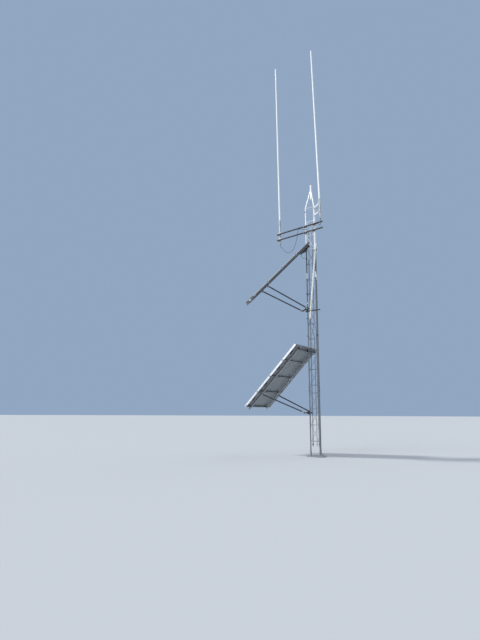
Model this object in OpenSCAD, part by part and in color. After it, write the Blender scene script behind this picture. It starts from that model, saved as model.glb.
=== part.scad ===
// Radio mast: a three-legged welded lattice mast that carries two whip antennas,
// a white side tube, two sloping solar arrays and the cables of all of them.
// The origin is the centre of the base plate's underside. +Z is up.
// The lattice's front side is parallel to X and faces -Y.

/* [Lattice mast] */
// Distance between the leg centres on each side of the lattice
side_w = 279; // [260:1:320]
// Outside diameter of the leg tubes
leg_d = 31.75; // [28:0.25:36]
// Wall of the leg tubes
leg_wall = 2; // [1.5:0.1:3]
// Diameter of the bracing rods
rod_d = 8; // [6:0.5:11]
// Height from one bracing rung to the next
bay_h = 406.4; // [405:0.1:408]
// Distance from a section's end to its first rung
rung_end = 101.6; // [90:0.1:120]
// Height of the joint between the base section and the middle section
base_joint_z = 1702; // [1650:1:1750]
// Height at which the top section's legs bend inwards
bend_z = 6700; // [6650:1:6800]
// Length of the bend itself
bend_h = 90; // [60:1:120]
// Height at which the bent legs meet the pole
apex_z = 7180; // [7100:1:7250]
// Length of the sleeves that join the sections
sleeve_h = 150; // [100:1:200]
// Wall of the sleeves that join the sections
sleeve_wall = 3; // [2:0.1:4]

/* [Top pole] */
// Outside diameter of the pole that the bent legs meet
pole_d = 48.3; // [40:0.1:60]
// Wall of the pole
pole_wall = 3.2; // [2:0.1:5]
// Height of the pole's lower end
pole_low_z = 6960; // [6920:1:7000]
// Height of the pole's upper end
pole_top_z = 7390; // [7340:1:7500]

/* [Base] */
// Thickness of the base plate
plate_t = 16; // [10:1:25]
// Distance that the base plate reaches past the leg centres
plate_edge = 120; // [100:1:150]
// Diameter of the anchor bolt circle
anchor_circle_d = 480; // [460:1:500]
// Diameter of the anchor bolt holes
anchor_hole_d = 22; // [16:1:28]
// Height of the leg sockets above the base plate
socket_h = 120; // [80:1:160]
// Wall of the leg sockets
socket_wall = 4; // [3:0.5:6]

/* [Pipes and clamps] */
// Outside diameter of the side arms and cross pipes
pipe_d = 42.4; // [38:0.1:48]
// Wall of the side arms and cross pipes
pipe_wall = 3.2; // [2:0.1:4]
// Thickness of the clamp plates
clamp_t = 6; // [5:0.5:8]
// Diameter of the U-bolt rods
bolt_d = 8; // [6:0.5:10]
// Distance from a crossing pipe's wall to the U-bolt beside it
bolt_off = 14; // [12:0.5:18]
// Distance that a clamp plate reaches past its U-bolts
clamp_rim = 12; // [10:0.5:16]

/* [Side arms] */
// Height of the upper arm
upper_arm_z = 6170; // [6150:1:6190]
// Height of the lower arm
lower_arm_z = 5995; // [5975:1:6010]
// Reach of the arms to the left of the mast's axis
arm_left = 1120; // [1115:1:1200]
// Reach of the arms to the right of the mast's axis
arm_right = 430; // [400:1:480]

/* [Left whip] */
// Distance from the mast's axis to the left whip's foot
left_whip_x = 1055; // [1030:1:1064]
// Outside diameter of the left whip's metal sleeve
left_sleeve_d = 64; // [55:1:72]
// Height of the left sleeve's lower end
left_sleeve_z = 5930; // [5910:1:5935]
// Length of the left sleeve
left_sleeve_h = 680; // [640:1:740]
// Diameter of the left radome at its foot
left_radome_d = 44; // [36:1:50]
// Diameter of the left radome at its tip
left_tip_d = 30; // [24:1:34]
// Length of the left radome above its sleeve
left_radome_h = 5050; // [4900:10:5200]
// Lean of the left whip in degrees, to the left
left_lean = 1.1; // [0:0.1:1.5]

/* [Right whip] */
// Distance from the right leg to the right whip
right_off = 370; // [340:1:390]
// Height of the right sleeve's lower end
right_sleeve_z = 6245; // [6230:1:6260]
// Length of the right sleeve
right_sleeve_h = 510; // [500:1:560]
// Outside diameter of the right sleeve
right_sleeve_d = 60; // [56:1:66]
// Outside diameter of the right sleeve's narrow foot
right_foot_d = 45; // [36:1:50]
// Diameter of the right radome at its foot
right_radome_d = 44; // [36:1:50]
// Diameter of the right radome at its tip
right_tip_d = 30; // [24:1:34]
// Length of the right radome above its sleeve
right_radome_h = 4490; // [4300:10:4700]
// Lean of the right whip in degrees
right_lean = 1.8; // [0:0.1:2.2]
// Height of the lower stand-off bracket
low_bracket_z = 6420; // [6416:1:6430]
// Height of the upper stand-off bracket
high_bracket_z = 6640; // [6630:1:6642]
// Width of the stand-off brackets' square tube
bracket_w = 30; // [25:1:36]
// Wall of the stand-off brackets' square tube
bracket_wall = 3; // [2:0.1:4]

/* [Solar arrays] */
// Length of a solar module along the slope
module_l = 537; // [520:1:550]
// Depth of a solar module's frame
module_t = 50; // [40:1:55]
// Gap between neighbouring modules
module_gap = 20; // [10:1:30]
// Width of the upper array's modules
upper_module_w = 839; // [780:1:880]
// Width of the lower array's modules
lower_module_w = 1209; // [1150:1:1250]
// Width and height of the channels that carry the modules
rail_w = 41; // [38:1:45]
// Wall of the channels
rail_wall = 2.5; // [2:0.1:3]
// Length of the channels past the lowest module
rail_over = 70; // [40:1:100]
// Distance between the upper array's channels
upper_rail_gap = 570; // [540:1:620]
// Distance between the lower array's channels
lower_rail_gap = 820; // [760:1:860]
// Slope of the upper array in degrees
upper_tilt = 46; // [43:1:48]
// Slope of the lower array in degrees
lower_tilt = 45; // [43:1:47]
// Compass direction of the upper array's fall, in degrees from +X
upper_turn = 235; // [232:1:238]
// Compass direction of the lower array's fall, in degrees from +X
lower_turn = 187.5; // [184:0.5:191]
// Height of the upper array's cross pipe
upper_hanger_z = 5490; // [5486:1:5492]
// Height of the lower array's cross pipe
lower_hanger_z = 2715; // [2705:1:2725]
// Distance down the slope from the modules' top edge to the cross pipe
hanger_x = 60; // [50:1:80]
// Distance down the slope from the modules' top edge to the struts
strut_x = 1680; // [1600:1:1700]
// Height of the pipe that holds the upper struts' feet
upper_foot_z = 3835; // [3831:1:3839]
// Height of the pipe that holds the lower struts' feet
lower_foot_z = 1095; // [1085:1:1105]
// Outside diameter of the struts
strut_d = 34; // [30:0.5:38]
// Wall of the struts
strut_wall = 2.6; // [2:0.1:4]

/* [Side tube] */
// Outside diameter of the white side tube
side_tube_d = 45; // [38:1:50]
// Wall of the side tube
side_tube_wall = 3; // [2:0.1:4]
// Height of the side tube's clamp on the right leg
side_tube_top_z = 5418; // [5412:1:5422]
// Distance from the mast's axis to the side tube at its clamp
side_tube_top_x = 180; // [175:1:190]
// Distance from the mast's axis to the side tube at the front bar
side_tube_foot_x = -2; // [-10:1:10]
// Length of the side tube above its clamp
side_tube_over = 176; // [140:1:200]
// Length of the side tube below the front bar
side_tube_under = 202; // [160:1:230]
// Width of the bar across the lattice's front that holds the side tube's foot
front_bar_w = 25; // [22:1:30]
// Height of the front bar
front_bar_z = 3763; // [3758:1:3766]
// Reach of the front bar to the left of the mast's axis
front_bar_left = 185; // [180:1:220]
// Reach of the front bar to the right of the mast's axis
front_bar_right = 270; // [240:1:300]

/* [Cables] */
// Diameter of the whips' coax cables
coax_d = 10.3; // [9:0.1:10.3]
// Diameter of the arrays' cable and the side tube's cable
lead_d = 8; // [6:0.5:8]
// Diameter of the coax connectors
connector_d = 20; // [18:0.5:22]
// Length of the coax connectors
connector_l = 45; // [35:1:50]
// Height of the cables' lower ends
cable_end_z = 300; // [250:10:340]
// Length, width and depth of the junction box on the upper array's cross pipe
box_size = [95, 130, 70];

/* [Hidden] */
$fn = 32;

// Clearance between a pipe and what is clamped round it
fit = 0.3;
// Extra length that lets a cut pass right through
through = 1;
// Nuts of the U-bolts, and the thread that shows past them
nut_d = 15;
nut_h = 7;
bolt_tail = 5;
// Depth to which a radome's foot goes into its sleeve, and the floor it stands on
radome_seat = 120;
seat_floor = 5;
sleeve_bore_wall = 6;
radome_wall = 4;
// Hole for the coax through a sleeve
coax_hole_d = 20;
// Height of the right sleeve's narrow foot
right_foot_h = 145;
// Plates of the right whip's brackets, and the height from their middle to a U-bolt
bracket_plate_w = 80;
bracket_plate_h = 70;
bracket_bolt_off = 22;
// Height from the middle of the side tube's clamp to its leg U-bolts
tube_clamp_bolt_off = 24;
// Short steps in a leg's bend and in a cable's curve, and the sides of both
bend_steps = 4;
leg_sides = 24;
spline_steps = 3;
cable_sides = 8;
// A module's glass, how deep it sits, and its frame's wall and rear lip
glass_t = 5;
glass_depth = 2;
frame_wall = 2.5;
frame_lip = 22;
frame_lip_t = 2;
// Inturned lips of the channels
rail_lip = 9;
front_bar_wall = 2.5;
// Distance that a cross pipe reaches past what it carries
foot_reach = 40;
// Places of the struts' feet on their pipes, to both sides of the left leg
upper_foot_near = 100;
upper_foot_far = 290;
lower_foot_near = 195;
lower_foot_far = 195;
// End caps of the side tube and the drain hole in its upper one
tube_cap = 6;
drain_d = 8;
// Coupling nut of a coax connector, and the rim of the junction box's lid
coupling_l = 18;
lid_rim = 4;

leg_r = leg_d / 2;
pipe_r = pipe_d / 2;
leg_ring = side_w / sqrt(3);
base_bays = 3;
middle_bays = 7;
// The top section's highest bay has no slanting rod
top_bays = 3;
middle_h = 2 * rung_end + middle_bays * bay_h;
top_joint_z = base_joint_z + middle_h;
LEFT = 210;
RIGHT = 330;
REAR = 90;
function on_ring(r, turn) = [r * cos(turn), r * sin(turn), 0];
function leg_at(turn) = on_ring(leg_ring, turn);
front_y = leg_at(LEFT)[1];
arm_y = front_y - leg_r - clamp_t - pipe_r;
galvanised = [0.68, 0.69, 0.68];
dark_steel = [0.33, 0.34, 0.34];
white_tube = [0.93, 0.92, 0.88];
frame_grey = [0.72, 0.72, 0.7];
cable_black = [0.08, 0.08, 0.08];
box_grey = [0.35, 0.35, 0.34];

// General pieces

module tube(d, wall, h) {
    difference() {
        cylinder(d = d, h = h);
        translate([0, 0, -through])
            cylinder(d = d - 2 * wall, h = h + 2 * through);
    }
}

module square_tube(w, wall, l) {
    difference() {
        translate([-w / 2, -w / 2, 0])
            cube([w, w, l]);
        translate([wall - w / 2, wall - w / 2, -through])
            cube([w - 2 * wall, w - 2 * wall, l + 2 * through]);
    }
}

// Points +Z from point a to point b and gives the children that frame
module along(a, b) {
    v = b - a;
    translate(a)
        rotate([0, acos(v[2] / norm(v)), atan2(v[1], v[0])])
            children();
}

module rod(a, b, d) {
    along(a, b)
        cylinder(d = d, h = norm(b - a), $fn = 8);
}

// Directions along a line of points, each the mean of the runs beside it
function unit(v) = v / norm(v);
function directions(p) = [for (i = [0 : len(p) - 1])
    unit((i == 0 ? [0, 0, 0] : unit(p[i] - p[i - 1]))
        + (i == len(p) - 1 ? [0, 0, 0] : unit(p[i + 1] - p[i])))];

// Vector v, turned the way that carries direction a onto direction b
function turned(v, a, b) =
    let (c = cross(a, b), k = a * b)
    v * k + cross(c, v) + c * (c * v) / (1 + k);

// One side vector for each direction, carried along the line without twist
function side_vectors(dirs, v, i = 0) =
    i == len(dirs) - 1 ? [v]
        : concat([v], side_vectors(dirs, turned(v, dirs[i], dirs[i + 1]), i + 1));

function first_side(v) = unit(cross(v, abs(v[2]) < 0.9 ? [0, 0, 1] : [1, 0, 0]));

// The n points of each ring round a line of points, ring after ring
function ring_points(line, r, n) =
    let (dirs = directions(line), across = side_vectors(dirs, first_side(dirs[0])))
    [for (i = [0 : len(line) - 1]) for (k = [0 : n - 1])
        line[i] + r * (across[i] * cos(360 * k / n) + cross(dirs[i], across[i]) * sin(360 * k / n))];

// Triangles between neighbouring rings, from point number base on
function skin(base, rings, n) = [
    for (i = [0 : rings - 2]) for (k = [0 : n - 1])
        let (a = base + i * n + k, b = base + i * n + (k + 1) % n)
        for (t = [[a, a + n, b + n], [a, b + n, b]]) t
];

function reversed(faces) = [for (t = faces) [t[2], t[1], t[0]]];

// A round bar swept along a line of points, as one closed shape
module swept(line, d, n) {
    rings = len(line);
    low_end = [for (k = [0 : n - 1]) k];
    high_end = [for (k = [n - 1 : -1 : 0]) (rings - 1) * n + k];
    polyhedron(ring_points(line, d / 2, n), concat(skin(0, rings, n), [low_end, high_end]));
}

// A U-bolt round a pipe that lies along Z against the face y = 0 of a plate
module u_bolt(d, t) {
    r = d / 2 + fit + bolt_d / 2;
    translate([0, -d / 2, 0])
        rotate([0, 0, 180])
            rotate_extrude(angle = 180)
                translate([r, 0])
                    circle(d = bolt_d, $fn = 16);
    for (s = [-1, 1])
        translate([s * r, -d / 2, 0])
            rotate([-90, 0, 0]) {
                cylinder(d = bolt_d, h = d / 2 + t + nut_h + bolt_tail, $fn = 16);
                translate([0, 0, d / 2 + t])
                    cylinder(d = nut_d, h = nut_h, $fn = 6);
            }
}

// Two U-bolts that hold one pipe, on both sides of a crossing pipe
module bolt_pair(d, crossing_d) {
    for (s = [-1, 1])
        translate([0, -clamp_t / 2, s * (crossing_d / 2 + bolt_off)])
            u_bolt(d, clamp_t);
}

// A plate between a front pipe and a rear pipe that cross, with their U-bolts
module cross_clamp(front_d, front_turn, rear_d, rear_turn) {
    w = 2 * (max(front_d, rear_d) / 2 + bolt_off + clamp_rim);
    translate([-w / 2, -clamp_t / 2, -w / 2])
        cube([w, clamp_t, w]);
    rotate([0, front_turn, 0])
        bolt_pair(front_d, rear_d);
    mirror([0, 1, 0])
        rotate([0, rear_turn, 0])
            bolt_pair(rear_d, front_d);
}

// Lattice mast

module straight_leg(turn, z_low, z_high) {
    color(galvanised)
        translate(leg_at(turn) + [0, 0, z_low])
            tube(leg_d, leg_wall, z_high - z_low);
}

// The points of a bent leg's centre line, with its bend as an arc of short steps
function bent_line(turn) =
    let (
        end = on_ring(pole_d / 2, turn) + [0, 0, apex_z],
        bend = leg_at(turn) + [0, 0, bend_z],
        run = unit(end - bend)
    )
    concat(
        [leg_at(turn) + [0, 0, top_joint_z]],
        [for (i = [0 : bend_steps])
            let (t = i / bend_steps)
            bend - [0, 0, 1] * bend_h * pow(1 - t, 2) / 2 + run * bend_h * pow(t, 2) / 2],
        [end]
    );

// A bent leg is one tube, cut off flat where it meets the pole
module bent_leg(turn) {
    n = leg_sides;
    line = bent_line(turn);
    rings = len(line);
    out = on_ring(1, turn);
    run = unit(line[rings - 1] - line[rings - 2]);
    function trimmed(points) = [for (i = [0 : len(points) - 1])
        i < (rings - 1) * n ? points[i]
            : points[i] + run * (pole_d / 2 - points[i] * out) / (run * out)];
    outer = trimmed(ring_points(line, leg_r, n));
    inner = trimmed(ring_points(line, leg_r - leg_wall, n));
    count = rings * n;
    end = (rings - 1) * n;
    low_rim = [for (k = [0 : n - 1])
        let (a = k, b = (k + 1) % n)
        for (t = [[a, b, count + b], [a, count + b, count + a]]) t];
    high_rim = [for (k = [0 : n - 1])
        let (a = end + k, b = end + (k + 1) % n)
        for (t = [[a, count + b, b], [a, count + a, count + b]]) t];
    color(galvanised)
        polyhedron(concat(outer, inner),
            concat(skin(0, rings, n), reversed(skin(count, rings, n)), low_rim, high_rim));
}

// One side of a section, as rungs with a slanting rod in each of its lower bays.
// It is drawn for the front side and turned to the side's own place.
module lattice_side(side_turn, rungs, bays) {
    joint_x = side_w / 2 - leg_r - rod_d / 4;
    color(galvanised)
        rotate([0, 0, side_turn])
            difference() {
                union() {
                    for (z = rungs)
                        rod([-side_w / 2, front_y, z], [side_w / 2, front_y, z], rod_d);
                    for (i = [0 : bays - 1])
                        rod([joint_x, front_y, rungs[i]], [-joint_x, front_y, rungs[i + 1]], rod_d);
                }
                for (turn = [LEFT, RIGHT])
                    translate(leg_at(turn) + [0, 0, rungs[0] - bay_h])
                        cylinder(d = leg_d, h = rungs[len(rungs) - 1] - rungs[0] + 2 * bay_h);
            }
}

base_rungs = [for (i = [base_bays : -1 : 0]) base_joint_z - rung_end - i * bay_h];
middle_rungs = [for (i = [0 : middle_bays]) base_joint_z + rung_end + i * bay_h];
top_rungs = [for (i = [top_bays + 1 : -1 : 0]) bend_z - i * bay_h];

module sleeves(joint_z) {
    color(galvanised)
        for (turn = [LEFT, RIGHT, REAR])
            translate(leg_at(turn) + [0, 0, joint_z - sleeve_h / 2])
                tube(leg_d + 2 * fit + 2 * sleeve_wall, sleeve_wall, sleeve_h);
}

module base_plate() {
    corner = leg_ring + plate_edge;
    cut = 45;
    socket_d = leg_d + 2 * fit + 2 * socket_wall;
    color(dark_steel)
        difference() {
            union() {
                linear_extrude(plate_t)
                    polygon([for (turn = [LEFT, RIGHT, REAR]) for (s = [-cut / 2, cut / 2])
                        [corner * cos(turn + s), corner * sin(turn + s)]]);
                for (turn = [LEFT, RIGHT, REAR])
                    translate(leg_at(turn) + [0, 0, plate_t / 2])
                        cylinder(d = socket_d, h = plate_t / 2 + socket_h);
            }
            for (turn = [LEFT, RIGHT, REAR]) {
                translate(leg_at(turn) + [0, 0, plate_t])
                    cylinder(d = leg_d + 2 * fit, h = socket_h + through);
                translate(on_ring(anchor_circle_d / 2, turn) - [0, 0, through])
                    cylinder(d = anchor_hole_d, h = plate_t + 2 * through);
            }
        }
}

module top_pole() {
    color(galvanised)
        translate([0, 0, pole_low_z])
            tube(pole_d, pole_wall, pole_top_z - pole_low_z);
}

// Side arms

right_leg_x = side_w / 2;

module arm(z) {
    color(dark_steel)
        translate([-arm_left, arm_y, z])
            rotate([0, 90, 0])
                tube(pipe_d, pipe_wall, arm_left + arm_right);
}

module arm_clamps() {
    color(galvanised)
        for (z = [upper_arm_z, lower_arm_z])
            for (x = [-right_leg_x, right_leg_x])
                translate([x, front_y - leg_r - clamp_t / 2, z])
                    cross_clamp(pipe_d, 90, leg_d, 0);
}

// Left whip, in its own frame with +Z along the whip

left_whip_y = arm_y + pipe_r + clamp_t + left_sleeve_d / 2;

module left_whip_frame() {
    translate([-left_whip_x, left_whip_y, left_sleeve_z])
        rotate([0, -left_lean, 0])
            children();
}

// A sleeve has a seat for the radome, a hollow foot and a hole between them for the coax
module whip_sleeve(d, bore, h, foot_d, foot_h) {
    low = foot_h + seat_floor;
    high = h - radome_seat - seat_floor;
    difference() {
        union() {
            cylinder(d = foot_d, h = h / 2);
            translate([0, 0, foot_h])
                cylinder(d = d, h = h - foot_h);
        }
        translate([0, 0, h - radome_seat])
            cylinder(d = bore, h = radome_seat + through);
        translate([0, 0, low])
            cylinder(d = d - 2 * sleeve_bore_wall, h = high - low);
        translate([0, 0, seat_floor])
            cylinder(d = coax_hole_d, h = h - radome_seat);
    }
}

// A radome is one turned shell: a plug in the sleeve, a long taper and a round tip
module radome(foot_d, tip_d, h) {
    socket = radome_seat - fit;
    wall = radome_wall;
    steps = 5;
    tip_r = tip_d / 2;
    outer = [for (i = [0 : steps]) [tip_r * cos(90 * i / steps), h - tip_r + tip_r * sin(90 * i / steps)]];
    rotate_extrude()
        polygon(concat(
            [[foot_d / 2 - wall, -socket], [foot_d / 2, -socket], [foot_d / 2, 0]],
            outer,
            [[0, h - wall], [tip_r - wall, h - tip_r], [foot_d / 2 - wall, 0]]
        ));
}

module left_whip_sleeve() {
    color(frame_grey)
        left_whip_frame()
            whip_sleeve(left_sleeve_d, left_radome_d + 2 * fit, left_sleeve_h, left_sleeve_d, 0);
}

module left_whip_radome() {
    color(white_tube)
        left_whip_frame()
            translate([0, 0, left_sleeve_h])
                radome(left_radome_d, left_tip_d, left_radome_h);
}

module left_whip_clamps() {
    function whip_x(z) = -left_whip_x - (z - left_sleeve_z) * tan(left_lean);
    color(galvanised)
        for (z = [upper_arm_z, lower_arm_z])
            translate([whip_x(z), arm_y + pipe_r + clamp_t / 2, z])
                cross_clamp(pipe_d, 90, left_sleeve_d, -left_lean);
}

// Right whip, in a frame with +X along its stand-off brackets and the leg's axis as Z

module right_frame() {
    translate(leg_at(RIGHT))
        rotate([0, 0, RIGHT])
            children();
}

middle_bracket_z = (low_bracket_z + high_bracket_z) / 2;

module right_whip_frame() {
    right_frame()
        translate([right_off, 0, middle_bracket_z])
            rotate([right_lean, 0, 0])
                translate([0, 0, right_sleeve_z - middle_bracket_z])
                    children();
}

module right_whip_sleeve() {
    color(frame_grey)
        right_whip_frame()
            whip_sleeve(
                right_sleeve_d, right_radome_d + 2 * fit, right_sleeve_h, right_foot_d, right_foot_h
            );
}

module right_whip_radome() {
    color(white_tube)
        right_whip_frame()
            translate([0, 0, right_sleeve_h])
                radome(right_radome_d, right_tip_d, right_radome_h);
}

module bracket(z) {
    whip_face = right_off - right_sleeve_d / 2;
    color(galvanised)
        right_frame()
            translate([0, 0, z]) {
                for (x = [leg_r, whip_face - clamp_t])
                    translate([x, -bracket_plate_w / 2, -bracket_plate_h / 2])
                        cube([clamp_t, bracket_plate_w, bracket_plate_h]);
                translate([leg_r + clamp_t, 0, 0])
                    rotate([0, 90, 0])
                        square_tube(bracket_w, bracket_wall, whip_face - leg_r - 2 * clamp_t);
                for (h = [-bracket_bolt_off, bracket_bolt_off]) {
                    translate([leg_r, 0, h])
                        rotate([0, 0, -90])
                            u_bolt(leg_d, clamp_t);
                    translate([whip_face, -(z + h - middle_bracket_z) * tan(right_lean), h])
                        rotate([0, 0, 90])
                            u_bolt(right_sleeve_d, clamp_t);
                }
            }
}

// Solar arrays. In an array's frame X runs down the slope, Y across it,
// and Z out of the modules' faces, with the origin at the middle of the top edge.

under_module = -module_t;
under_rail = under_module - rail_w;
hanger_level = under_rail - pipe_r;
array_l = 4 * module_l + 3 * module_gap;
clamp_reach = leg_r + clamp_t + pipe_r;

module array_frame(turn, tilt, hanger_z) {
    translate(leg_at(LEFT) + on_ring(clamp_reach, turn) + [0, 0, hanger_z])
        rotate([0, tilt, turn])
            translate([-hanger_x, 0, -hanger_level])
                children();
}

// A module is a tray of four channel sides round a glass sheet
module solar_module(n, w) {
    translate([(n - 1) * (module_l + module_gap), -w / 2, -module_t])
        difference() {
            cube([module_l, w, module_t]);
            translate([frame_wall, frame_wall, module_t - glass_depth])
                cube([module_l - 2 * frame_wall, w - 2 * frame_wall, glass_depth + through]);
            translate([frame_wall, frame_wall, frame_lip_t])
                cube([
                    module_l - 2 * frame_wall, w - 2 * frame_wall,
                    module_t - glass_depth - glass_t - frame_lip_t
                ]);
            translate([frame_lip, frame_lip, -through])
                cube([module_l - 2 * frame_lip, w - 2 * frame_lip, frame_lip_t + 2 * through]);
        }
}

module upper_module(n) {
    color(frame_grey)
        array_frame(upper_turn, upper_tilt, upper_hanger_z)
            solar_module(n, upper_module_w);
}

module lower_module(n) {
    color(frame_grey)
        array_frame(lower_turn, lower_tilt, lower_hanger_z)
            solar_module(n, lower_module_w);
}

module rail_profile() {
    inner = rail_w - rail_wall;
    polygon([
        [0, 0], [rail_w, 0], [rail_w, rail_lip], [inner, rail_lip],
        [inner, rail_wall], [rail_wall, rail_wall],
        [rail_wall, inner], [inner, inner],
        [inner, rail_w - rail_lip], [rail_w, rail_w - rail_lip], [rail_w, rail_w], [0, rail_w]
    ]);
}

module rails(gap) {
    for (side = [0, 1])
        mirror([0, side, 0])
            translate([0, gap / 2 - rail_w / 2, under_rail])
                rotate([90, 0, 90])
                    linear_extrude(array_l + rail_over)
                        rail_profile();
}

// A cross pipe on the left leg that the channels lie on, with its clamp
module leg_cross_pipe(turn, z, y_low, y_high) {
    translate(leg_at(LEFT) + [0, 0, z])
        rotate([0, 0, turn]) {
            translate([clamp_reach, y_low, 0])
                rotate([-90, 0, 0])
                    tube(pipe_d, pipe_wall, y_high - y_low);
            translate([leg_r + clamp_t / 2, 0, 0])
                rotate([0, 0, 90])
                    cross_clamp(pipe_d, 90, leg_d, 0);
        }
}

module hanger(turn, z, gap) {
    reach = gap / 2 + rail_w / 2 + foot_reach;
    color(dark_steel)
        leg_cross_pipe(turn, z, -reach, reach);
}

module foot_pipe(turn, z, near, far) {
    color(dark_steel)
        leg_cross_pipe(turn, z, -far - foot_reach, near + foot_reach);
}

// The two struts run from the underside of the channels to the foot pipe
module struts(turn, tilt, hanger_z, foot_z, gap, near, far) {
    down = strut_x - hanger_x;
    lift = strut_d / 2;
    head_x = clamp_reach + down * cos(tilt) + (pipe_r - lift) * sin(tilt);
    head_z = -down * sin(tilt) + (pipe_r - lift) * cos(tilt);
    color(dark_steel)
        translate(leg_at(LEFT) + [0, 0, hanger_z])
            rotate([0, 0, turn])
                for (pair = [[gap / 2, near], [-gap / 2, -far]]) {
                    head = [head_x, pair[0], head_z];
                    foot = [clamp_reach, pair[1], foot_z - hanger_z];
                    reach = norm(head - foot);
                    run = (head - foot) / reach;
                    along(foot + run * (pipe_r + fit), head)
                        tube(strut_d, strut_wall, reach - pipe_r - fit);
                }
}

// Side tube. It leans in from the front bar to a clamp plate on the right leg.

side_tube_top = [side_tube_top_x, front_y - leg_r - clamp_t - side_tube_d / 2, side_tube_top_z];
side_tube_foot = [side_tube_foot_x, front_y - leg_r - front_bar_w - side_tube_d / 2, front_bar_z];
side_tube_run = unit(side_tube_top - side_tube_foot);
side_tube_lean = atan2(side_tube_run[0], side_tube_run[2]);

side_tube_end = side_tube_foot - side_tube_under * side_tube_run;

// The side tube is closed at both ends, with a drain hole in its upper end
module side_tube() {
    high = side_tube_top + side_tube_over * side_tube_run;
    l = norm(high - side_tube_end);
    color(white_tube)
        along(side_tube_end, high)
            difference() {
                cylinder(d = side_tube_d, h = l);
                translate([0, 0, tube_cap])
                    cylinder(d = side_tube_d - 2 * side_tube_wall, h = l - 2 * tube_cap);
                translate([0, 0, l / 2])
                    cylinder(d = drain_d, h = l / 2 + through);
            }
}

// A plate on the right leg, with two U-bolts round the leg and one round the side tube
module side_tube_clamp() {
    left = right_leg_x - leg_r - bolt_off;
    right = side_tube_top_x + side_tube_d / 2 + bolt_off + clamp_rim / 2;
    h = 2 * (tube_clamp_bolt_off + clamp_rim);
    color(galvanised)
        translate([0, front_y - leg_r - clamp_t, side_tube_top_z]) {
            translate([left, 0, -h / 2])
                cube([right - left, clamp_t, h]);
            translate([side_tube_top_x, 0, 0])
                rotate([0, side_tube_lean, 0])
                    u_bolt(side_tube_d, clamp_t);
            for (s = [-1, 1])
                translate([right_leg_x, clamp_t, s * tube_clamp_bolt_off])
                    rotate([0, 0, 180])
                        u_bolt(leg_d, clamp_t);
        }
}

// A square bar across the front legs, with U-bolts round both legs and round the side tube
module front_bar() {
    color(dark_steel)
        translate([0, front_y - leg_r, front_bar_z]) {
            translate([-front_bar_left, -front_bar_w / 2, 0])
                rotate([0, 90, 0])
                    square_tube(front_bar_w, front_bar_wall, front_bar_left + front_bar_right);
            for (x = [-right_leg_x, right_leg_x])
                translate([x, 0, 0])
                    rotate([0, 0, 180])
                        u_bolt(leg_d, front_bar_w);
            translate([side_tube_foot_x, -front_bar_w, 0])
                rotate([0, side_tube_lean, 0])
                    u_bolt(side_tube_d, front_bar_w);
        }
}

// Cables. Each runs through its route's points, rounded by a spline.

function spline_point(a, b, c, d, t) =
    (2 * b + (c - a) * t + (2 * a - 5 * b + 4 * c - d) * pow(t, 2)
        + (3 * b - a - 3 * c + d) * pow(t, 3)) / 2;

function spline(p) = concat(
    [for (i = [0 : len(p) - 2]) for (t = [0 : spline_steps - 1])
        spline_point(p[max(i - 1, 0)], p[i], p[i + 1], p[min(i + 2, len(p) - 1)], t / spline_steps)],
    [p[len(p) - 1]]
);

module cable(line, d) {
    color(cable_black)
        swept(line, d, cable_sides);
}

// The lines on which the cables hang down behind the lattice's front side
coax_y = front_y + rod_d / 2 + coax_d / 2 + 0.15;
lead_y = front_y + rod_d / 2 + lead_d / 2 + 0.2;
left_feeder_x = -60;
right_feeder_x = 50;
array_cable_x = -82;
tube_cable_x = 108;

// The coax under an arm
function under_arm(x, z) = [x, arm_y, z - pipe_r - coax_d / 2 - 0.05];

left_coax_start = [
    connector_l * sin(left_lean) - left_whip_x, left_whip_y,
    left_sleeve_z - connector_l * cos(left_lean)
];

module left_jumper() {
    cable(spline([
        left_coax_start,
        left_coax_start - [0, 0, 35],
        [-1036, -66, 5806], [-1003, -69, 5772], [-966, -73, 5733], [-930, -78, 5682], [-886, -84, 5628],
        [-830, -90, 5582], [-762, -96, 5553], [-690, -100, 5545], [-630, -102, 5560], [-576, -102, 5600],
        [-530, -100, 5664], [-494, -98, 5744], [-466, -96.5, 5830], [-442, -95.5, 5910],
        [-424, -95.5, 5995], [-408, -98, 6050], [-392, -107, 6098], [-374, -118.5, 6130],
        under_arm(-345, upper_arm_z)
    ]), coax_d);
}

module left_feeder() {
    cable(concat(
        spline([
            under_arm(-345, upper_arm_z), under_arm(-315, upper_arm_z),
            [-285, -123.3, 6136], [-255, -122.5, 6121], [-222, -121, 6108], [-186, -118, 6099],
            [-150, -114, 6091], [-118, -108, 6078], [-92, -99, 6055], [-74, -88, 6020], [-64, -78, 5975],
            [left_feeder_x - 1, coax_y - 0.3, 5925],
            [left_feeder_x, coax_y, 5870], [left_feeder_x, coax_y, 5820]
        ]),
        [[left_feeder_x, coax_y, cable_end_z]]
    ), coax_d);
}

// The right whip's axis, as a point and a direction in the mast's frame
right_axis = [0, -sin(right_lean), cos(right_lean)];
function from_right_frame(p) = leg_at(RIGHT)
    + [p[0] * cos(RIGHT) - p[1] * sin(RIGHT), p[0] * sin(RIGHT) + p[1] * cos(RIGHT), p[2]];
right_coax_start = from_right_frame([right_off, 0, middle_bracket_z]
    + (right_sleeve_z - middle_bracket_z - connector_l) * right_axis);

module right_jumper() {
    cable(spline([
        right_coax_start,
        right_coax_start - [0, 0, 35],
        [462, -250, 6122], [450, -238, 6084], [430, -218, 6060], [405, -195, 6050], [378, -172, 6058],
        [352, -152, 6080], [328, -138, 6108], [305, -128, 6130],
        [280, -124, 6141],
        under_arm(250, upper_arm_z)
    ]), coax_d);
}

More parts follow.
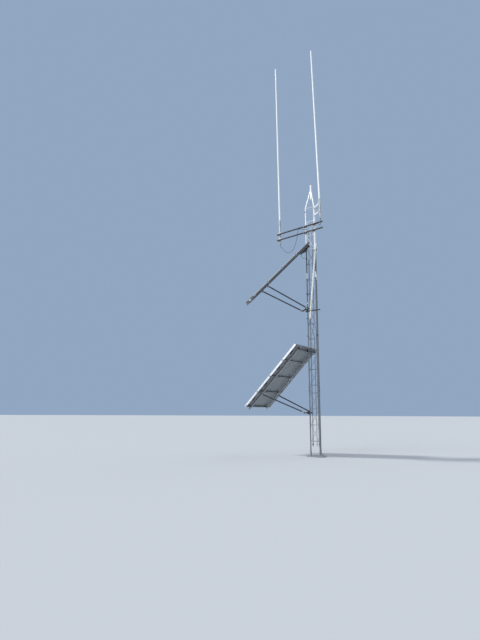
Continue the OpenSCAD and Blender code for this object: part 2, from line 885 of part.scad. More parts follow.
module right_feeder() {
    cable(concat(
        spline([
            under_arm(250, upper_arm_z), under_arm(225, upper_arm_z),
            [203, -122.3, 6133], [182, -119.5, 6111], [165, -115.5, 6093], [150, -110.5, 6083],
            [139.5, -108, 6078], [125, -104, 6073], [108, -96, 6064], [92, -84, 6050], [80, -74, 6032],
            [68, -68, 6008], [58, -66, 5975], [52, -68, 5930],
            [right_feeder_x, coax_y + 0.5, 5885],
            [right_feeder_x, coax_y, 5840], [right_feeder_x, coax_y, 5800]
        ]),
        spline([
            [right_feeder_x, coax_y, 3500], [right_feeder_x, coax_y, 3460],
            [44, -68, 3415], [26, -60, 3360], [0, -50, 3308], [-18, -44, 3245], [-12, -46, 3175],
            [12, -55, 3115], [36, -64, 3068],
            [right_feeder_x - 1, coax_y + 0.5, 3015],
            [right_feeder_x, coax_y, 2960], [right_feeder_x, coax_y, 2920]
        ]),
        [[right_feeder_x, coax_y, cable_end_z]]
    ), coax_d);
}

// A point of an array's frame in the mast's frame
function in_array(p, turn, tilt, hanger_z) =
    let (
        down = [cos(tilt) * cos(turn), cos(tilt) * sin(turn), -sin(tilt)],
        sideways = [-sin(turn), cos(turn), 0]
    )
    leg_at(LEFT) + on_ring(clamp_reach, turn) + [0, 0, hanger_z]
        + (p[0] - hanger_x) * down + p[1] * sideways + (p[2] - hanger_level) * cross(down, sideways);

box_x = hanger_x + pipe_r;
box_y = 112;
gland_l = 18;
box_gland = [box_x + box_size[0] + gland_l, box_y, hanger_level];

// A closed box clamped to the upper array's cross pipe, with one cable gland
module junction_box() {
    color(box_grey)
        array_frame(upper_turn, upper_tilt, upper_hanger_z)
            translate([box_x, box_y, hanger_level]) {
                translate([0, -box_size[1] / 2, -box_size[2] / 2])
                    cube(box_size);
                translate([0, -box_size[1] / 2 - lid_rim, -box_size[2] / 2 - lid_rim])
                    cube([box_size[0] + lid_rim, box_size[1] + 2 * lid_rim, 3 * lid_rim]);
                translate([box_size[0], 0, 0])
                    rotate([0, 90, 0])
                        cylinder(d = connector_d, h = gland_l, $fn = 12);
                for (side = [-1, 1])
                    translate([0, side * box_size[1] / 3, 0])
                        rotate([-90, -90, 0])
                            u_bolt(pipe_d, 0);
            }
}

module array_cable() {
    start = in_array(box_gland, upper_turn, upper_tilt, upper_hanger_z);
    away = unit(start - in_array(box_gland - [1, 0, 0], upper_turn, upper_tilt, upper_hanger_z));
    cable(concat(
        spline([
            start, start + 30 * away,
            [-152, -289, 5334], [-160, -288, 5300], [-165, -272, 5268], [-166, -247, 5246],
            [-164, -214, 5235], [-159, -178, 5232], [-152, -144, 5236], [-141, -114, 5241],
            [-123, -99, 5241], [-106, -88, 5231], [-93, -79, 5206],
            [array_cable_x - 2, lead_y - 0.6, 5165],
            [array_cable_x, lead_y, 5115], [array_cable_x, lead_y, 5075]
        ]),
        [[array_cable_x, lead_y, cable_end_z]]
    ), lead_d);
}

tube_lead_start = side_tube_end - connector_l * side_tube_run;

module tube_cable() {
    cable(concat(
        spline([
            tube_lead_start, tube_lead_start - 22 * side_tube_run,
            [-18, -145, 3472], [4, -139, 3448], [30, -130, 3420], [56, -117, 3382], [80, -101, 3342],
            [97, -87, 3303],
            [tube_cable_x - 2, lead_y - 2.5, 3262],
            [tube_cable_x, lead_y, 3215], [tube_cable_x, lead_y, 3170]
        ]),
        [[tube_cable_x, lead_y, cable_end_z]]
    ), lead_d);
}

// A coax connector with its coupling nut, from point a towards point b
module connector(a, b) {
    along(a, b) {
        cylinder(d = 0.8 * connector_d, h = connector_l, $fn = 16);
        cylinder(d = connector_d, h = coupling_l, $fn = 16);
    }
}

module connectors() {
    color(galvanised) {
        connector(from_right_frame([right_off, 0, middle_bracket_z]
            + (right_sleeve_z - middle_bracket_z) * right_axis), right_coax_start);
        connector([-left_whip_x, left_whip_y, left_sleeve_z], left_coax_start);
        connector(side_tube_end, tube_lead_start);
        for (end = [[left_feeder_x, coax_y], [right_feeder_x, coax_y], [array_cable_x, lead_y],
            [tube_cable_x, lead_y]])
            connector([end[0], end[1], cable_end_z - connector_l], [end[0], end[1], cable_end_z]);
    }
}

base_plate();
straight_leg(LEFT, plate_t, base_joint_z);  // base_leg_left
straight_leg(RIGHT, plate_t, base_joint_z);  // base_leg_right
straight_leg(REAR, plate_t, base_joint_z);  // base_leg_rear
lattice_side(0, base_rungs, base_bays);  // base_lattice_front
lattice_side(120, base_rungs, base_bays);  // base_lattice_right
lattice_side(240, base_rungs, base_bays);  // base_lattice_left
sleeves(base_joint_z);  // lower_sleeves
straight_leg(LEFT, base_joint_z, top_joint_z);  // middle_leg_left
straight_leg(RIGHT, base_joint_z, top_joint_z);  // middle_leg_right
straight_leg(REAR, base_joint_z, top_joint_z);  // middle_leg_rear
lattice_side(0, middle_rungs, middle_bays);  // middle_lattice_front
lattice_side(120, middle_rungs, middle_bays);  // middle_lattice_right
lattice_side(240, middle_rungs, middle_bays);  // middle_lattice_left
sleeves(top_joint_z);  // upper_sleeves
bent_leg(LEFT);  // top_leg_left
bent_leg(RIGHT);  // top_leg_right
bent_leg(REAR);  // top_leg_rear
lattice_side(0, top_rungs, top_bays);  // top_lattice_front
lattice_side(120, top_rungs, top_bays);  // top_lattice_right
lattice_side(240, top_rungs, top_bays);  // top_lattice_left
top_pole();
arm(upper_arm_z);  // upper_arm
arm(lower_arm_z);  // lower_arm
arm_clamps();
left_whip_sleeve();
left_whip_radome();
left_whip_clamps();
right_whip_sleeve();
right_whip_radome();
bracket(low_bracket_z);  // low_bracket
bracket(high_bracket_z);  // high_bracket
upper_module(1);  // upper_module_1
upper_module(2);  // upper_module_2
upper_module(3);  // upper_module_3
upper_module(4);  // upper_module_4
color(dark_steel) array_frame(upper_turn, upper_tilt, upper_hanger_z) rails(upper_rail_gap);  // upper_rails
hanger(upper_turn, upper_hanger_z, upper_rail_gap);  // upper_hanger
struts(upper_turn, upper_tilt, upper_hanger_z, upper_foot_z, upper_rail_gap,  // upper_struts
        upper_foot_near, upper_foot_far);
foot_pipe(upper_turn, upper_foot_z, upper_foot_near, upper_foot_far);  // upper_foot_pipe
lower_module(1);  // lower_module_1
lower_module(2);  // lower_module_2
lower_module(3);  // lower_module_3
lower_module(4);  // lower_module_4
color(dark_steel) array_frame(lower_turn, lower_tilt, lower_hanger_z) rails(lower_rail_gap);  // lower_rails
hanger(lower_turn, lower_hanger_z, lower_rail_gap);  // lower_hanger
struts(lower_turn, lower_tilt, lower_hanger_z, lower_foot_z, lower_rail_gap,  // lower_struts
        lower_foot_near, lower_foot_far);
foot_pipe(lower_turn, lower_foot_z, lower_foot_near, lower_foot_far);  // lower_foot_pipe
side_tube();
side_tube_clamp();
front_bar();
left_jumper();
left_feeder();
right_jumper();
right_feeder();
array_cable();
tube_cable();
junction_box();
connectors();
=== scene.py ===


# %% [markdown]
# # Dressing a radio mast
#
# This lesson takes the plain solids of a radio mast and gives them their looks in Blender: zinc on the
# lattice, white fibreglass on the whips, cells and frames on the solar arrays, and black cables.
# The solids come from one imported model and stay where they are. New pieces are made in metres, in the
# same frame: +Z up, the lattice's front side parallel to X, and the origin under the base plate.

import math
import random

import bmesh
import bpy
from mathutils import Matrix, Vector


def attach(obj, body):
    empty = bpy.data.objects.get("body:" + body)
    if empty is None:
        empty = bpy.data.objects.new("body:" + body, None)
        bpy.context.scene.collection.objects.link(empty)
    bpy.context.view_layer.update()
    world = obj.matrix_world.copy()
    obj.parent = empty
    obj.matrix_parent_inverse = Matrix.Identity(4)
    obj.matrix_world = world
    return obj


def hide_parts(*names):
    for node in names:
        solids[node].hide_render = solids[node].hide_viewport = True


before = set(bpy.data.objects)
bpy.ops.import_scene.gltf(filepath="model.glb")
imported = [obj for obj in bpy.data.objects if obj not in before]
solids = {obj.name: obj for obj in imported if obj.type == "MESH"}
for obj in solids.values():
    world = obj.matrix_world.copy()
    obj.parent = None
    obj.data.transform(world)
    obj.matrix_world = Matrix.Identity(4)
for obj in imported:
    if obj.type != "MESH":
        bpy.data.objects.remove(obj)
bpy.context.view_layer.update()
scene = bpy.context.scene
scene.view_settings.view_transform = "Standard"

# %% [markdown]
# ## The camera
#
# The photograph was taken from low down in front of the mast's left side, with the camera tipped up.
# A camera's view follows from its place, its direction and its lens, so those three are set from the
# numbers that the photograph's horizon and the mast's known sizes gave. A lens of 27.8 mm on the
# 36 mm side of the sensor gives the same perspective as the photograph has.

# %% Set up the camera
def put_in_scene(name, data):
    """A new object with that data, in the scene."""
    thing = bpy.data.objects.new(name, data)
    scene.collection.objects.link(thing)
    return thing


view_turn, view_rise, view_roll = (math.radians(angle) for angle in (43, 10.8, 0.2))
lens = bpy.data.cameras.new("photo_camera")
lens.sensor_fit = "AUTO"
lens.sensor_width = 36
lens.lens = 27.8
lens.clip_end = 400
camera = scene.camera = put_in_scene("photo_camera", lens)
camera.location = (7.395, -10.829, 1.05)
looks_along = Vector((
    -math.sin(view_turn) * math.cos(view_rise),
    math.cos(view_turn) * math.cos(view_rise),
    math.sin(view_rise),
))
camera.rotation_mode = "QUATERNION"
camera.rotation_quaternion = looks_along.to_track_quat("-Z", "Y")
camera.rotation_quaternion @= Matrix.Rotation(view_roll, 3, "Z").to_quaternion()
print("camera", round(camera.location.length, 2), "m from the mast's foot")

# %% [markdown]
# ## Sizes that many pieces share
#
# Everything on this mast sits on three legs, so the legs' places come first. They stand on the corners
# of an equal-sided triangle, and each is named by the compass direction in which it stands.

# %% The legs' places
side_w = 0.279
leg_r, rod_r, pipe_r = 0.031750 / 2, 0.004, 0.0424 / 2
clamp_t = 0.006
legs = LEFT, RIGHT, REAR = [math.radians(angle) for angle in (210, 330, 90)]


def round_the_axis(radius, turn, z=0.0):
    """A point at that distance from the mast's axis, in that compass direction."""
    return Vector((radius * math.cos(turn), radius * math.sin(turn), z))


def leg_at(turn, z=0.0):
    return round_the_axis(side_w / math.sqrt(3), turn, z)


front_y = leg_at(LEFT).y
arm_y = front_y - leg_r - clamp_t - pipe_r
print("front side at y", round(front_y, 4), "and arms at y", round(arm_y, 4))

# %% [markdown]
# ## Tools for small pieces
#
# Bolts, washers, straps and weld beads are made as meshes in code. Many small pieces that share a finish
# go into one mesh, because an object of its own for each bolt would only slow the scene down. Each tool
# adds one kind of shape to a mesh that is being built, at a place with axes of its own. Most of these
# shapes are a skin over rings of points: a turned shape has round rings, and a bent bar has small ones.

# %% Places, rings and skins
at = Matrix.Translation


def set_along(direction, spot):
    """A place whose Z axis points along a direction."""
    return at(Vector(spot)) @ Vector(direction).to_track_quat("Z", "Y").to_matrix().to_4x4()


def circle(count):
    """The cosine and the sine of each of that many equal steps round a circle."""
    return [(math.cos(2 * math.pi * k / count), math.sin(2 * math.pi * k / count)) for k in range(count)]


def ring(work, place, points):
    """New corners of the mesh, at points that are measured from a place."""
    return [work.verts.new(place @ Vector(point)) for point in points]


def skin(work, rings, closed=False):
    """Faces between rings that have the same number of points, with ends unless the rings close a loop."""
    for here, there in zip(rings, rings[1:] + rings[:1] if closed else rings[1:]):
        for i in range(len(here)):
            j = (i + 1) % len(here)
            work.faces.new((here[i], here[j], there[j], there[i]))
    if not closed:
        work.faces.new(list(reversed(rings[0])))
        work.faces.new(rings[-1])


def add_turned(work, place, profile, sides=24):
    """A turned shape: a profile of (radius, height) points spun round the place's Z axis."""
    skin(work, [ring(work, place, [(radius * c, radius * s, height) for c, s in circle(sides)])
                for radius, height in profile])


# %% A finished piece
def finish_piece(work, name, finish, place=None):
    """Turns the mesh that was built into a piece that rides on the mast, and says how large it is.

    The shading is smooth, but edges sharper than 35 degrees stay sharp.
    """
    bmesh.ops.recalc_face_normals(work, faces=work.faces)
    mesh = bpy.data.meshes.new(name)
    work.to_mesh(mesh)
    work.free()
    if finish:
        mesh.materials.append(finish)
    mesh.shade_smooth()
    mesh.set_sharp_from_angle(angle=math.radians(35))
    piece = put_in_scene(name, mesh)
    if place:
        piece.matrix_world = place
    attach(piece, "root")
    print(name, len(mesh.polygons), "faces")
    return piece


# %% [markdown]
# ## The two free coax cables
#
# A coax leaves the foot of each whip, hangs in a loop and comes back up to an arm. It could be a string
# of straight tubes, but a cable never has corners. A spline through a few points gives one smooth line,
# and a curve object with a round bevel turns that line into a cable that stays equally thick all along.

# %% A smooth line through points
def smooth_line(points, steps=6):
    """A Catmull-Rom spline through the points, as a longer list of points."""
    p = [Vector(q) for q in points]
    line = []
    for i in range(len(p) - 1):
        a, b, c, d = p[max(i - 1, 0)], p[i], p[i + 1], p[min(i + 2, len(p) - 1)]
        for k in range(steps):
            t = k / steps
            line.append((2 * b + (c - a) * t + (2 * a - 5 * b + 4 * c - d) * t ** 2
                         + (3 * b - a - 3 * c + d) * t ** 3) / 2)
    return line + [p[-1]]


def line_length(line):
    return sum((b - a).length for a, b in zip(line, line[1:]))


# %% The cables' routes
coax_r = 0.0103 / 2
connector_l = 0.045
coax_drop = pipe_r + coax_r + 0.00005
upper_arm_z, lower_arm_z = 6.170, 5.995

left_lean, left_sleeve_r = math.radians(1.1), 0.032
left_foot = Vector((-1.055, arm_y + pipe_r + clamp_t + left_sleeve_r, 5.930))
left_axis = Vector((-math.sin(left_lean), 0, math.cos(left_lean)))
left_start = left_foot - connector_l * left_axis
left_route = smooth_line([
    left_start, left_start - Vector((0, 0, 0.035)),
    (-1.036, -0.066, 5.806), (-1.003, -0.069, 5.772), (-0.966, -0.073, 5.733), (-0.930, -0.078, 5.682),
    (-0.886, -0.084, 5.628), (-0.830, -0.090, 5.582), (-0.762, -0.096, 5.553), (-0.690, -0.100, 5.545),
    (-0.630, -0.102, 5.560), (-0.576, -0.102, 5.600), (-0.530, -0.100, 5.664), (-0.494, -0.098, 5.744),
    (-0.466, -0.0965, 5.830), (-0.442, -0.0955, 5.910), (-0.424, -0.0955, 5.995), (-0.408, -0.098, 6.050),
    (-0.392, -0.107, 6.098), (-0.374, -0.1185, 6.130), (-0.345, arm_y, upper_arm_z - coax_drop),
])

right_lean, right_sleeve_r = math.radians(1.8), 0.030
right_turn = Matrix.Rotation(RIGHT, 3, "Z")
right_axis = right_turn @ Vector((0, -math.sin(right_lean), math.cos(right_lean)))
right_middle = leg_at(RIGHT) + right_turn @ Vector((0.370, 0, 6.530))
right_foot = right_middle + (6.245 - 6.530) * right_axis
right_start = right_foot - connector_l * right_axis
right_route = smooth_line([
    right_start, right_start - Vector((0, 0, 0.035)),
    (0.462, -0.250, 6.122), (0.450, -0.238, 6.084), (0.430, -0.218, 6.060), (0.405, -0.195, 6.050),
    (0.378, -0.172, 6.058), (0.352, -0.152, 6.080), (0.328, -0.138, 6.108), (0.305, -0.128, 6.130),
    (0.280, -0.124, 6.141), (0.250, arm_y, upper_arm_z - coax_drop),
])
for name, route in (("left", left_route), ("right", right_route)):
    print(name, "coax", round(line_length(route), 3), "m")


# %% Lay the cables
def add_boot(work, start, run, cable_r):
    """A tapered rubber boot over a connector's end and the first of its cable."""
    grip, neck = 0.0092, cable_r + 0.0007
    add_turned(work, set_along(run, start), [
        (grip, -0.012), (grip, 0.003), (0.7 * grip + 0.3 * neck, 0.010), (0.35 * grip + 0.65 * neck, 0.020),
        (neck, 0.034), (neck - 0.0005, 0.035),
    ], 16)


def lay_coax(name, route, solid):
    """A coax as a curve with a round bevel, which takes the place of a solid that it hides, with a boot.

    The bevel is 1 m deep and each point scales it down to the coax, because Blender adds a point's
    scale to the box that it gives for a curve.
    """
    curve = bpy.data.curves.new(name, "CURVE")
    curve.dimensions = "3D"
    curve.bevel_depth = 1.0
    curve.bevel_resolution = 4
    curve.use_fill_caps = True
    spline = curve.splines.new("POLY")
    spline.points.add(len(route) - 1)
    for point, spot in zip(spline.points, route):
        point.co = (*spot, 1)
        point.radius = coax_r
    spline.use_smooth = True
    coax = put_in_scene(name, curve)
    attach(coax, "root")
    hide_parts(solid)
    work = bmesh.new()
    add_boot(work, route[0], route[1] - route[0], coax_r)
    boot = finish_piece(work, name + "_boot", None)
    return coax, boot


left_coax, left_boot = lay_coax("left_coax", left_route, "left_jumper")
right_coax, right_boot = lay_coax("right_coax", right_route, "right_jumper")

# %% [markdown]
# ## The studio
#
# The mast stands outdoors in hard sun, but a part is easier to judge in plain, soft light. A pale floor
# takes its shadow. The backdrop is the world itself: what the camera and the polished metal see is a
# plain pale blue-grey, dark enough that the white whips stand out from it, while a brighter, whiter
# world lights the mast from all round. A wide sun from the left plays the real sun's part, a weaker and
# much wider one from the front fills in, so that the pale pieces read as pale, and a third, weaker still,
# shapes the mast's back.

# %% Floor
def new_finish(name):
    """A material with an empty Principled shader, ready for its own nodes."""
    finish = bpy.data.materials.new(name)
    finish.use_nodes = True
    return finish, finish.node_tree, finish.node_tree.nodes["Principled BSDF"]


def fill(node, **sockets):
    """Sets some of a node's sockets."""
    for key, value in sockets.items():
        node.inputs[key.replace("_", " ")].default_value = value
    return node


floor_finish, tree, shader = new_finish("pale_floor")
fill(shader, Base_Color=(0.47, 0.50, 0.53, 1), Roughness=0.9, Specular_IOR_Level=0.1)
bpy.ops.mesh.primitive_circle_add(vertices=128, radius=400, fill_type="NGON", location=(0, 0, -0.0005))
floor = bpy.context.object
floor.name = "studio_floor"
floor.data.materials.append(floor_finish)
print("floor", [round(side) for side in floor.dimensions[:2]], "m")


# %% Backdrop
def add(tree, kind, **sockets):
    """A new node of that kind, with some of its sockets set."""
    return fill(tree.nodes.new(kind), **sockets)


def join(tree, out_socket, in_socket):
    tree.links.new(out_socket, in_socket)


def combined(tree, operation, first, second):
    """One number made from two, such as their product or the larger one."""
    node = tree.nodes.new("ShaderNodeMath")
    node.operation = operation
    join(tree, first, node.inputs[0])
    join(tree, second, node.inputs[1])
    return node.outputs[0]


world = scene.world = bpy.data.worlds.new("studio_world")
world.use_nodes = True
tree = world.node_tree
seen = fill(tree.nodes["Background"], Color=(0.285, 0.385, 0.535, 1))
lighting = add(tree, "ShaderNodeBackground", Color=(0.80, 0.87, 1.0, 1), Strength=0.50)
rays = add(tree, "ShaderNodeLightPath").outputs
sees_backdrop = combined(tree, "MAXIMUM", rays["Is Camera Ray"], rays["Is Glossy Ray"])
sees_backdrop = combined(tree, "MAXIMUM", sees_backdrop, rays["Is Transmission Ray"])
blend = add(tree, "ShaderNodeMixShader")
join(tree, sees_backdrop, blend.inputs["Fac"])
join(tree, lighting.outputs[0], blend.inputs[1])
join(tree, seen.outputs[0], blend.inputs[2])
join(tree, blend.outputs[0], tree.nodes["World Output"].inputs["Surface"])
print("backdrop", [round(c, 3) for c in seen.inputs["Color"].default_value[:3]])


# %% The three lamps
def hang_lamp(name, turn, rise, strength, softness, colour):
    """A sun lamp that shines from a compass direction and a height, both in degrees."""
    lamp = bpy.data.lights.new(name, "SUN")
    lamp.energy = strength
    lamp.angle = math.radians(softness)
    lamp.color = colour
    up = math.radians(rise)
    comes_from = round_the_axis(math.cos(up), math.radians(turn), math.sin(up))
    put_in_scene(name, lamp).rotation_euler = comes_from.to_track_quat("Z", "Y").to_euler()
    print(name, "shines from", turn, "degrees round and", rise, "degrees up")


hang_lamp("key_lamp", 216, 43, 2.5, 9, (1.0, 0.975, 0.94))
hang_lamp("fill_lamp", 264, 22, 1.5, 40, (0.95, 0.97, 1.0))
hang_lamp("back_lamp", 75, 35, 0.8, 50, (0.97, 0.98, 1.0))

# %% [markdown]
# ## Finishes
#
# A finish is a material made of nodes. The texture nodes read the object's own coordinates, which are
# metres here, so a pattern's size can be set in real units: zinc crystals of about a centimetre, streaks
# as long as a hand. Each finish varies its colour, its roughness and its surface, because no real surface
# is the same all over. A few small helpers keep the node graphs short.

# %% Patterns
def metres(tree, stretch=(1, 1, 1)):
    """The object's own coordinates, in metres, scaled along each axis."""
    scaled = add(tree, "ShaderNodeMapping", Scale=stretch)
    join(tree, add(tree, "ShaderNodeTexCoord").outputs["Object"], scaled.inputs["Vector"])
    return scaled.outputs["Vector"]


def cloudy(tree, per_metre, detail=4.0, stretch=(1, 1, 1)):
    """A cloudy pattern with that many clouds to the metre."""
    noise = add(tree, "ShaderNodeTexNoise", Scale=per_metre, Detail=detail, Roughness=0.55)
    join(tree, metres(tree, stretch), noise.inputs["Vector"])
    return noise.outputs["Fac"]


# %% Shares and mixtures
def spread(tree, source, low, high, to_low=0.0, to_high=1.0):
    """Stretches the part of a pattern between low and high over a new range."""
    ranged = add(tree, "ShaderNodeMapRange", From_Min=low, From_Max=high, To_Min=to_low, To_Max=to_high)
    join(tree, source, ranged.inputs["Value"])
    return ranged.outputs["Result"]


def mixed(tree, share, first, second):
    """A colour between two colours or sockets, by a share from 0 to 1."""
    mix = tree.nodes.new("ShaderNodeMix")
    mix.data_type = "RGBA"
    join(tree, share, mix.inputs["Factor"])
    for socket, colour in ((mix.inputs[6], first), (mix.inputs[7], second)):
        if isinstance(colour, tuple):
            socket.default_value = (*colour, 1)
        else:
            join(tree, colour, socket)
    return mix.outputs[2]


def part_share(tree, vector, axis, none_at, all_at):
    """A share that goes from 0 to 1 while a vector's part along an axis goes from one value to another."""
    parts = add(tree, "ShaderNodeSeparateXYZ")
    join(tree, vector, parts.inputs["Vector"])
    return spread(tree, parts.outputs[axis], none_at, all_at)


def height_share(tree, none_at, all_at):
    """A share that depends on the height above the ground, in metres."""
    return part_share(tree, metres(tree), "Z", none_at, all_at)


def dress(tree, shader, colour, rough, relief, depth, strength, **sockets):
    """Gives the shader its colour, roughness and relief, which is as deep as that in metres."""
    bump = add(tree, "ShaderNodeBump", Strength=strength, Distance=depth)
    join(tree, relief, bump.inputs["Height"])
    join(tree, bump.outputs["Normal"], shader.inputs["Normal"])
    join(tree, colour, shader.inputs["Base Color"])
    join(tree, rough, shader.inputs["Roughness"])
    fill(shader, **sockets)


# %% [markdown]
# ### Zinc
#
# Nearly all the steel here is hot-dip galvanised. Fresh zinc is bright, with flat crystals that each
# reflect a little differently. Weather turns it into a dull grey skin with darker runs under every joint.
# The pipes are darkest, which is painted shade: they are seen from below, on their unlit sides. One recipe
# makes all of them: crystals, clouds and upright streaks mixed in different amounts, so the parts match as
# they would if they had aged on one mast. The top section is bright, but darker below the upper array,
# which is painted shade: the shadow that the array casts on it.

# %% The zinc recipe
def crystals(tree, per_metre):
    """Flat cells with a random grey each, like the crystals in a zinc coat."""
    cells = add(tree, "ShaderNodeTexVoronoi", Scale=per_metre)
    join(tree, metres(tree), cells.inputs["Vector"])
    grey = add(tree, "ShaderNodeSeparateColor")
    join(tree, cells.outputs["Color"], grey.inputs["Color"])
    return grey.outputs["Red"]


rust_brown = (0.20, 0.085, 0.035)


def zinc(name, light, dark, stain, metal, rough, crystal_size=0.012, streaks=0.6, rust=0.0,
         painted_shade_z=None):
    """A zinc coat between two greys, with streaks of a stain colour, and painted shade below some heights.
    """
    finish, tree, shader = new_finish(name)
    flake = crystals(tree, 1 / crystal_size)
    aged = mixed(tree, spread(tree, cloudy(tree, 5.0, 5.0), 0.35, 0.7),
                 mixed(tree, flake, dark, light), mixed(tree, flake, light, dark))
    runs = cloudy(tree, 60.0, 3.0, (1, 1, 0.05))
    colour = mixed(tree, spread(tree, runs, 0.52, 0.78, 0.0, streaks), aged, stain)
    if rust:
        spots = spread(tree, cloudy(tree, 34.0, 6.0), 0.64, 0.74, 0.0, rust)
        colour = mixed(tree, spots, colour, rust_brown)
    # Painted shade: below the given heights the zinc turns dark grey, in place of a cast shadow.
    if painted_shade_z:
        dull = mixed(tree, flake, (0.15, 0.165, 0.19), (0.23, 0.25, 0.275))
        colour = mixed(tree, height_share(tree, *painted_shade_z), colour, dull)
    dress(tree, shader, colour, spread(tree, flake, 0, 1, rough - 0.08, rough + 0.10),
          cloudy(tree, 260.0, 3.0), 0.0006, 0.5, Metallic=metal)
    return finish


# %% Seven zinc coats
bright = ((0.86, 0.865, 0.86), (0.72, 0.735, 0.745), (0.47, 0.48, 0.48), 0.2, 0.42)
bright_zinc = zinc("bright_zinc", *bright, streaks=0.45)
# Painted shade: the top section's zinc darkens from 5.50 m down to 5.42 m, where the upper array's shadow
# falls.
top_zinc_painted_shade = zinc("top_zinc_painted_shade", *bright, streaks=0.45, painted_shade_z=(5.50, 5.42))
weathered_zinc = zinc("weathered_zinc", (0.25, 0.27, 0.295), (0.15, 0.165, 0.19), (0.09, 0.10, 0.11),
                      0.35, 0.55, streaks=0.7, rust=0.35)
# Painted shade: the arms, struts and other pipes are this dark because they are seen from below on their
# unlit sides; their rust spots are their own.
pipe_zinc_painted_shade = zinc("pipe_zinc_painted_shade", (0.060, 0.067, 0.084), (0.034, 0.039, 0.050), (0.020, 0.022, 0.028),
                 0.3, 0.55, streaks=0.6, rust=0.25)
clamp_zinc = zinc("clamp_zinc", (0.50, 0.51, 0.51), (0.34, 0.35, 0.36), (0.18, 0.18, 0.18),
                  0.65, 0.42, crystal_size=0.006, rust=0.2)
channel_zinc = zinc("channel_zinc", (0.40, 0.42, 0.44), (0.29, 0.31, 0.33), (0.20, 0.21, 0.22),
                    0.25, 0.48, rust=0.2)
footing_zinc = zinc("footing_zinc", (0.34, 0.35, 0.355), (0.22, 0.23, 0.235), (0.15, 0.12, 0.09),
                    0.5, 0.6, rust=0.7)
print("seven zinc finishes, with crystals of 6 and 12 mm")

# %% [markdown]
# ### Aluminium, fibreglass, plastic and rubber
#
# The modules' frames are anodised aluminium with fine lines along the pressing direction. The lower
# modules' ends that face the mast are painted dark: painted shade, as they lie in the mast's shade. The
# frames are also painted darker where they face down: painted shade. The whips are white fibreglass
# tubes: the glass weave shows faintly through the paint, and years of sun leave them chalky. The sleeves
# that hold them are turned aluminium. Cable jackets are black and slightly dusty.

# %% Aluminium
def facing_share(tree, axis, none_at, all_at):
    """A share that depends on how far a surface faces along an axis."""
    return part_share(tree, add(tree, "ShaderNodeTexCoord").outputs["Normal"], axis, none_at, all_at)


def aluminium(name, light, dark, rough, line_stretch, metal=0.85, dust_and_shade=None, mast_side_shade=None):
    """Satin aluminium with fine lines, and if asked with painted shade on +X sides and underneath."""
    finish, tree, shader = new_finish(name)
    lines = cloudy(tree, 900.0, 2.0, line_stretch)
    clouds = cloudy(tree, 7.0, 5.0)
    colour = mixed(tree, spread(tree, lines, 0.3, 0.7), dark, light)
    colour = mixed(tree, spread(tree, clouds, 0.45, 0.75, 0.0, 0.6), colour, tuple(0.72 * c for c in dark))
    # Painted shade on the sides that face +X, towards the mast.
    if mast_side_shade:
        colour = mixed(tree, facing_share(tree, "X", 0.45, 0.65), colour, mast_side_shade)
    # Painted shade on the sides that face down.
    if dust_and_shade:
        colour = mixed(tree, facing_share(tree, "Z", -0.45, -0.65), colour, dust_and_shade)
    dress(tree, shader, colour, spread(tree, clouds, 0.3, 0.7, rough - 0.05, rough + 0.14),
          lines, 0.0001, 0.5, Metallic=metal)
    return finish


pressed = (0.05, 0.05, 1)
# Painted shade: the lower frames are darker where they face down and on their ends towards the mast.
frame_anodised = aluminium("frame_anodised", (0.80, 0.81, 0.82), (0.68, 0.69, 0.71), 0.34, pressed, 0.3,
                           dust_and_shade=(0.36, 0.38, 0.40), mast_side_shade=(0.065, 0.073, 0.09))
lip_anodised = aluminium("lip_anodised", (0.82, 0.83, 0.84), (0.70, 0.71, 0.73), 0.30, pressed, 0.3)
# Painted shade: the upper frames are darker where they face down.
frame_bronze = aluminium("frame_bronze", (0.200, 0.184, 0.186), (0.130, 0.120, 0.122), 0.42, pressed, 0.3,
                         dust_and_shade=(0.13, 0.12, 0.115))
band_steel = aluminium("band_steel", (0.80, 0.80, 0.79), (0.66, 0.66, 0.66), 0.24, (0.3, 0.3, 1), 0.6)
sleeve_aluminium = aluminium("sleeve_aluminium", (0.50, 0.52, 0.545), (0.38, 0.40, 0.43), 0.42,
                             (0.02, 0.02, 1), 0.35)
connector_nickel = aluminium("connector_nickel", (0.66, 0.64, 0.58), (0.50, 0.48, 0.44), 0.28,
                             (0.1, 0.1, 1))
print("six finishes of bare metal")


# %% Fibreglass and white plastic
def striped(tree, per_metre, direction, **sockets):
    """Even stripes across a direction."""
    waves = add(tree, "ShaderNodeTexWave", Scale=per_metre, **sockets)
    waves.bands_direction = direction
    join(tree, metres(tree), waves.inputs["Vector"])
    return waves.outputs["Fac"]


def white_shell(name, white, dirt, weave, yellow_z=None):
    """White satin plastic with a faint weave, dirt in streaks and, if asked, a yellowed band."""
    finish, tree, shader = new_finish(name)
    runs = cloudy(tree, 50.0, 4.0, (1, 1, 0.04))
    clouds = cloudy(tree, 6.0, 5.0)
    colour = mixed(tree, spread(tree, runs, 0.55, 0.85, 0.0, 0.5), white, dirt)
    colour = mixed(tree, spread(tree, clouds, 0.5, 0.8, 0.0, 0.35), colour, tuple(0.90 * c for c in white))
    if yellow_z:
        low, high = yellow_z
        band = combined(tree, "MULTIPLY", height_share(tree, low, low + 0.12),
                        height_share(tree, high, high - 0.12))
        colour = mixed(tree, spread(tree, band, 0, 1, 0.0, 0.5), colour, (0.74, 0.66, 0.36))
    dress(tree, shader, colour, spread(tree, clouds, 0.3, 0.7, 0.30, 0.48),
          striped(tree, weave, "DIAGONAL", Distortion=0.6, Detail=1.0), 0.0003, 0.35,
          Coat_Weight=0.25, Coat_Roughness=0.2)
    return finish


white_fibreglass = white_shell("white_fibreglass", (0.88, 0.88, 0.86), (0.60, 0.60, 0.57), 90.0)
white_pipe = white_shell("white_pipe", (0.90, 0.895, 0.865), (0.66, 0.64, 0.58), 15.0, (3.60, 4.15))
print("two white shells")


